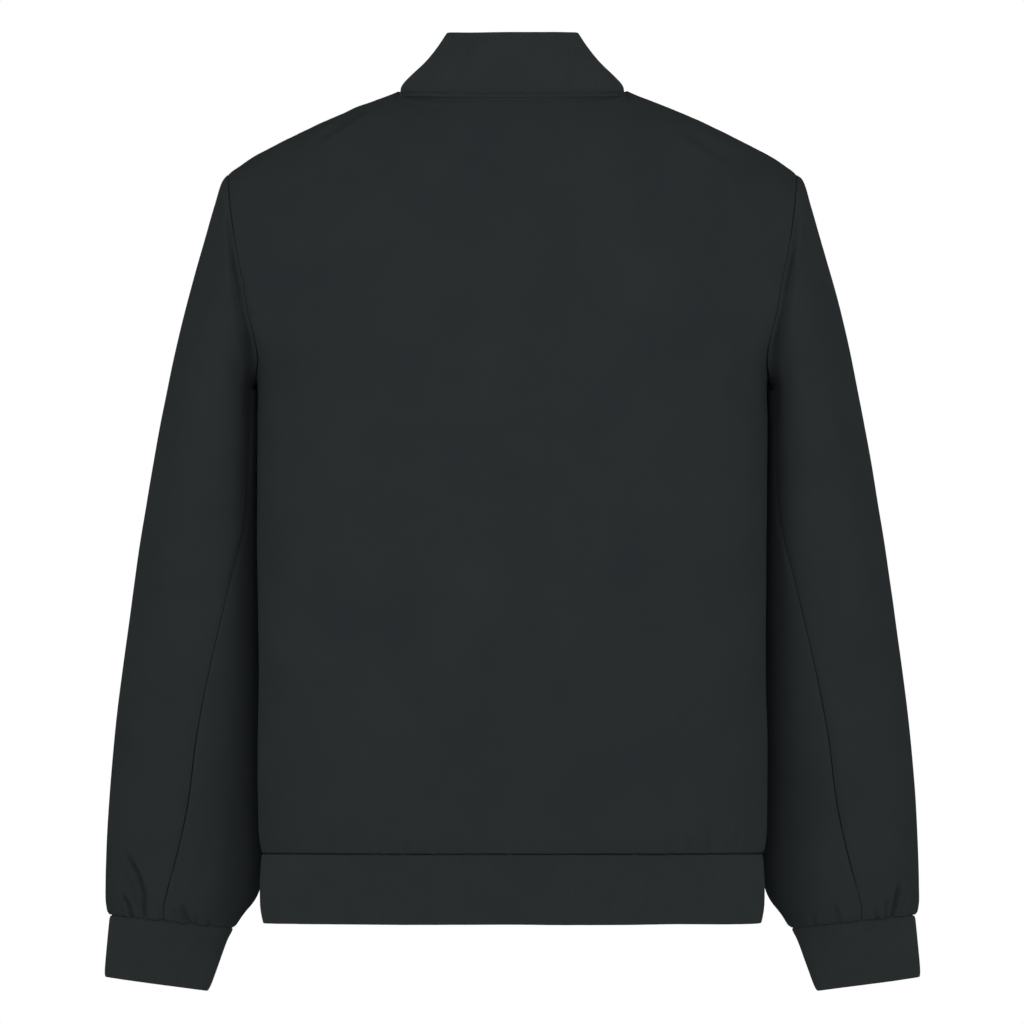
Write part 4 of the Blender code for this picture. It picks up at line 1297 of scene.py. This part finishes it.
def makeTeeth(line, out):
    item = smallItem("tooth_item", (teeth["width"], teeth["thick"], teeth["tall"]), 0.3, 1)
    lengths = np.concatenate(([0], np.cumsum(lengthOf(np.diff(line, axis=0))[..., 0])))

    def cut(z0, z1, shift, sideways):
        start = np.interp(-z0, -line[:, 2], lengths) + shift
        stop = np.interp(-z1, -line[:, 2], lengths)
        where = np.arange(start, stop, 1.3)
        points = np.stack([np.interp(where, lengths, line[:, i]) for i in range(3)], -1)
        normals = unit(np.stack([np.interp(where, lengths, out[:, i]) for i in range(3)], -1))
        points[:, 0] = sideways
        return points, normals

    for hand, side in ((1, "left"), (-1, "right")):
        shift = 0 if hand > 0 else teeth["pitch"] / 2
        below = cut(sliderZ - 8, boxZ + 6, shift, hand * teeth["apart"])
        above = cut(teeth["topZ"], sliderZ + 8, shift, hand * teeth["apartAbove"])
        for name, where in (("zip_teeth_", below), ("zip_teeth_top_", above)):
            rowAlongPath(name + side, *where, item, teeth["pitch"], darkNickel, slot="zip_metal")
    bpy.data.objects.remove(item)


neckStitch = makeBack()
frontStitches = makeFronts()
print("body panels made")
makeSleeves()
print("sleeves made")
makeCollar()
makeHem()
makeCuffs()
print("ribs made")
teethLine, teethOut = makeTapes()
makeStitches(neckStitch, frontStitches)
makeTeeth(teethLine, teethOut)
for node in ("zip_slider", "zip_pull", "zip_box"):
    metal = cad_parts[node]
    metal.data.materials.clear()
    metal.data.materials.append(darkNickel)
print("zip made")


# The studio: a pale floor below the picture, a white backdrop for the camera, soft lights
def paleFloor():
    shape = bmesh.new()
    bmesh.ops.create_circle(shape, cap_ends=True, radius=1.4, segments=96)
    mesh = bpy.data.meshes.new("floor")
    shape.to_mesh(mesh)
    shape.free()
    made, tree, shader = newMaterial("paintedPlaster_paleGrey")
    tree.links.new(dyed(tree, "#D9D9D6", "#DEDEDC", 400), shader.inputs["Base Color"])
    shader.inputs["Roughness"].default_value = 0.9
    mesh.materials.append(made)
    floor = newObject("floor", mesh)
    floor.location = (0, 0, -0.9)


def areaLight(name, place, aim, size, power):
    data = bpy.data.lights.new(name, "AREA")
    data.shape = "DISK"
    data.size = size
    data.energy = power
    made = newObject(name, data)
    made.location = place
    made.rotation_euler = (Vector(aim) - Vector(place)).to_track_quat("-Z", "Y").to_euler()
    made.visible_camera = False


def studio():
    world = bpy.data.worlds.new("studio")
    bpy.context.scene.world = world
    world.use_nodes = True
    tree = world.node_tree
    tree.nodes.clear()
    # soft light from the front and the back of the set, less from the sides, from above and from below
    place = addNode(tree, "ShaderNodeTexCoord")
    way = addNode(tree, "ShaderNodeSeparateXYZ", {0: place.outputs["Generated"]})
    facing = addNode(tree, "ShaderNodeMath", {0: way.outputs["Y"]}, operation="ABSOLUTE")
    sides = addNode(tree, "ShaderNodeMapRange", {"Value": facing.outputs[0], "To Min": 0.5, "To Max": 1.05})
    height = addNode(tree, "ShaderNodeMath", {0: way.outputs["Z"]}, operation="ABSOLUTE")
    falling = {"Value": height.outputs[0], "From Max": 0.8, "To Min": 1.0, "To Max": 0.4}
    poles = addNode(tree, "ShaderNodeMapRange", falling)
    both = {0: sides.outputs[0], 1: poles.outputs[0]}
    strength = addNode(tree, "ShaderNodeMath", both, operation="MULTIPLY")
    rays = addNode(tree, "ShaderNodeLightPath")
    cool = {"Color": (0.96, 0.98, 1.0, 1), "Strength": strength.outputs[0]}
    soft = addNode(tree, "ShaderNodeBackground", cool)
    white = addNode(tree, "ShaderNodeBackground", {"Color": (1, 1, 1, 1), "Strength": 1.0})
    seen = {0: rays.outputs["Is Camera Ray"], 1: soft.outputs[0], 2: white.outputs[0]}
    mix = addNode(tree, "ShaderNodeMixShader", seen)
    addNode(tree, "ShaderNodeOutputWorld", {"Surface": mix.outputs[0]})
    # the photograph shows the back, so the key lights stand behind the jacket
    lights = (
        ("keyLeft", (2.6, 3.9, 0.0), 2.2, 60),
        ("keyRight", (-2.6, 3.9, 0.0), 2.2, 60),
        ("keyMiddle", (0, 4.8, 0.0), 2.6, 56),
        ("top", (0, 0.4, 3.2), 2.4, 2),
        ("frontLeft", (1.9, -4.2, 0.5), 2.2, 60),
        ("frontRight", (-1.9, -4.2, 0.5), 2.2, 60),
    )
    for name, place, size, power in lights:
        areaLight(name, place, (0, 0, -0.35), size, power)
    bpy.context.scene.view_settings.view_transform = "Standard"


# The photograph's view, from behind: its pixels, the length of one in mm, and the camera's distance in m
photoView = {"pixels": 1024, "pixel": 0.825, "away": 20}


def camera():
    data = bpy.data.cameras.new("camera")
    data.sensor_width = 36
    data.lens = 36 * photoView["away"] / (photoView["pixels"] * photoView["pixel"] * mm)
    data.clip_end = 100
    made = newObject("camera", data)
    made.location = (0.00033, photoView["away"], -0.3465)
    made.rotation_euler = (quarterTurn, 0, halfTurn)
    bpy.context.scene.camera = made


paleFloor()
studio()
camera()
print("studio made")
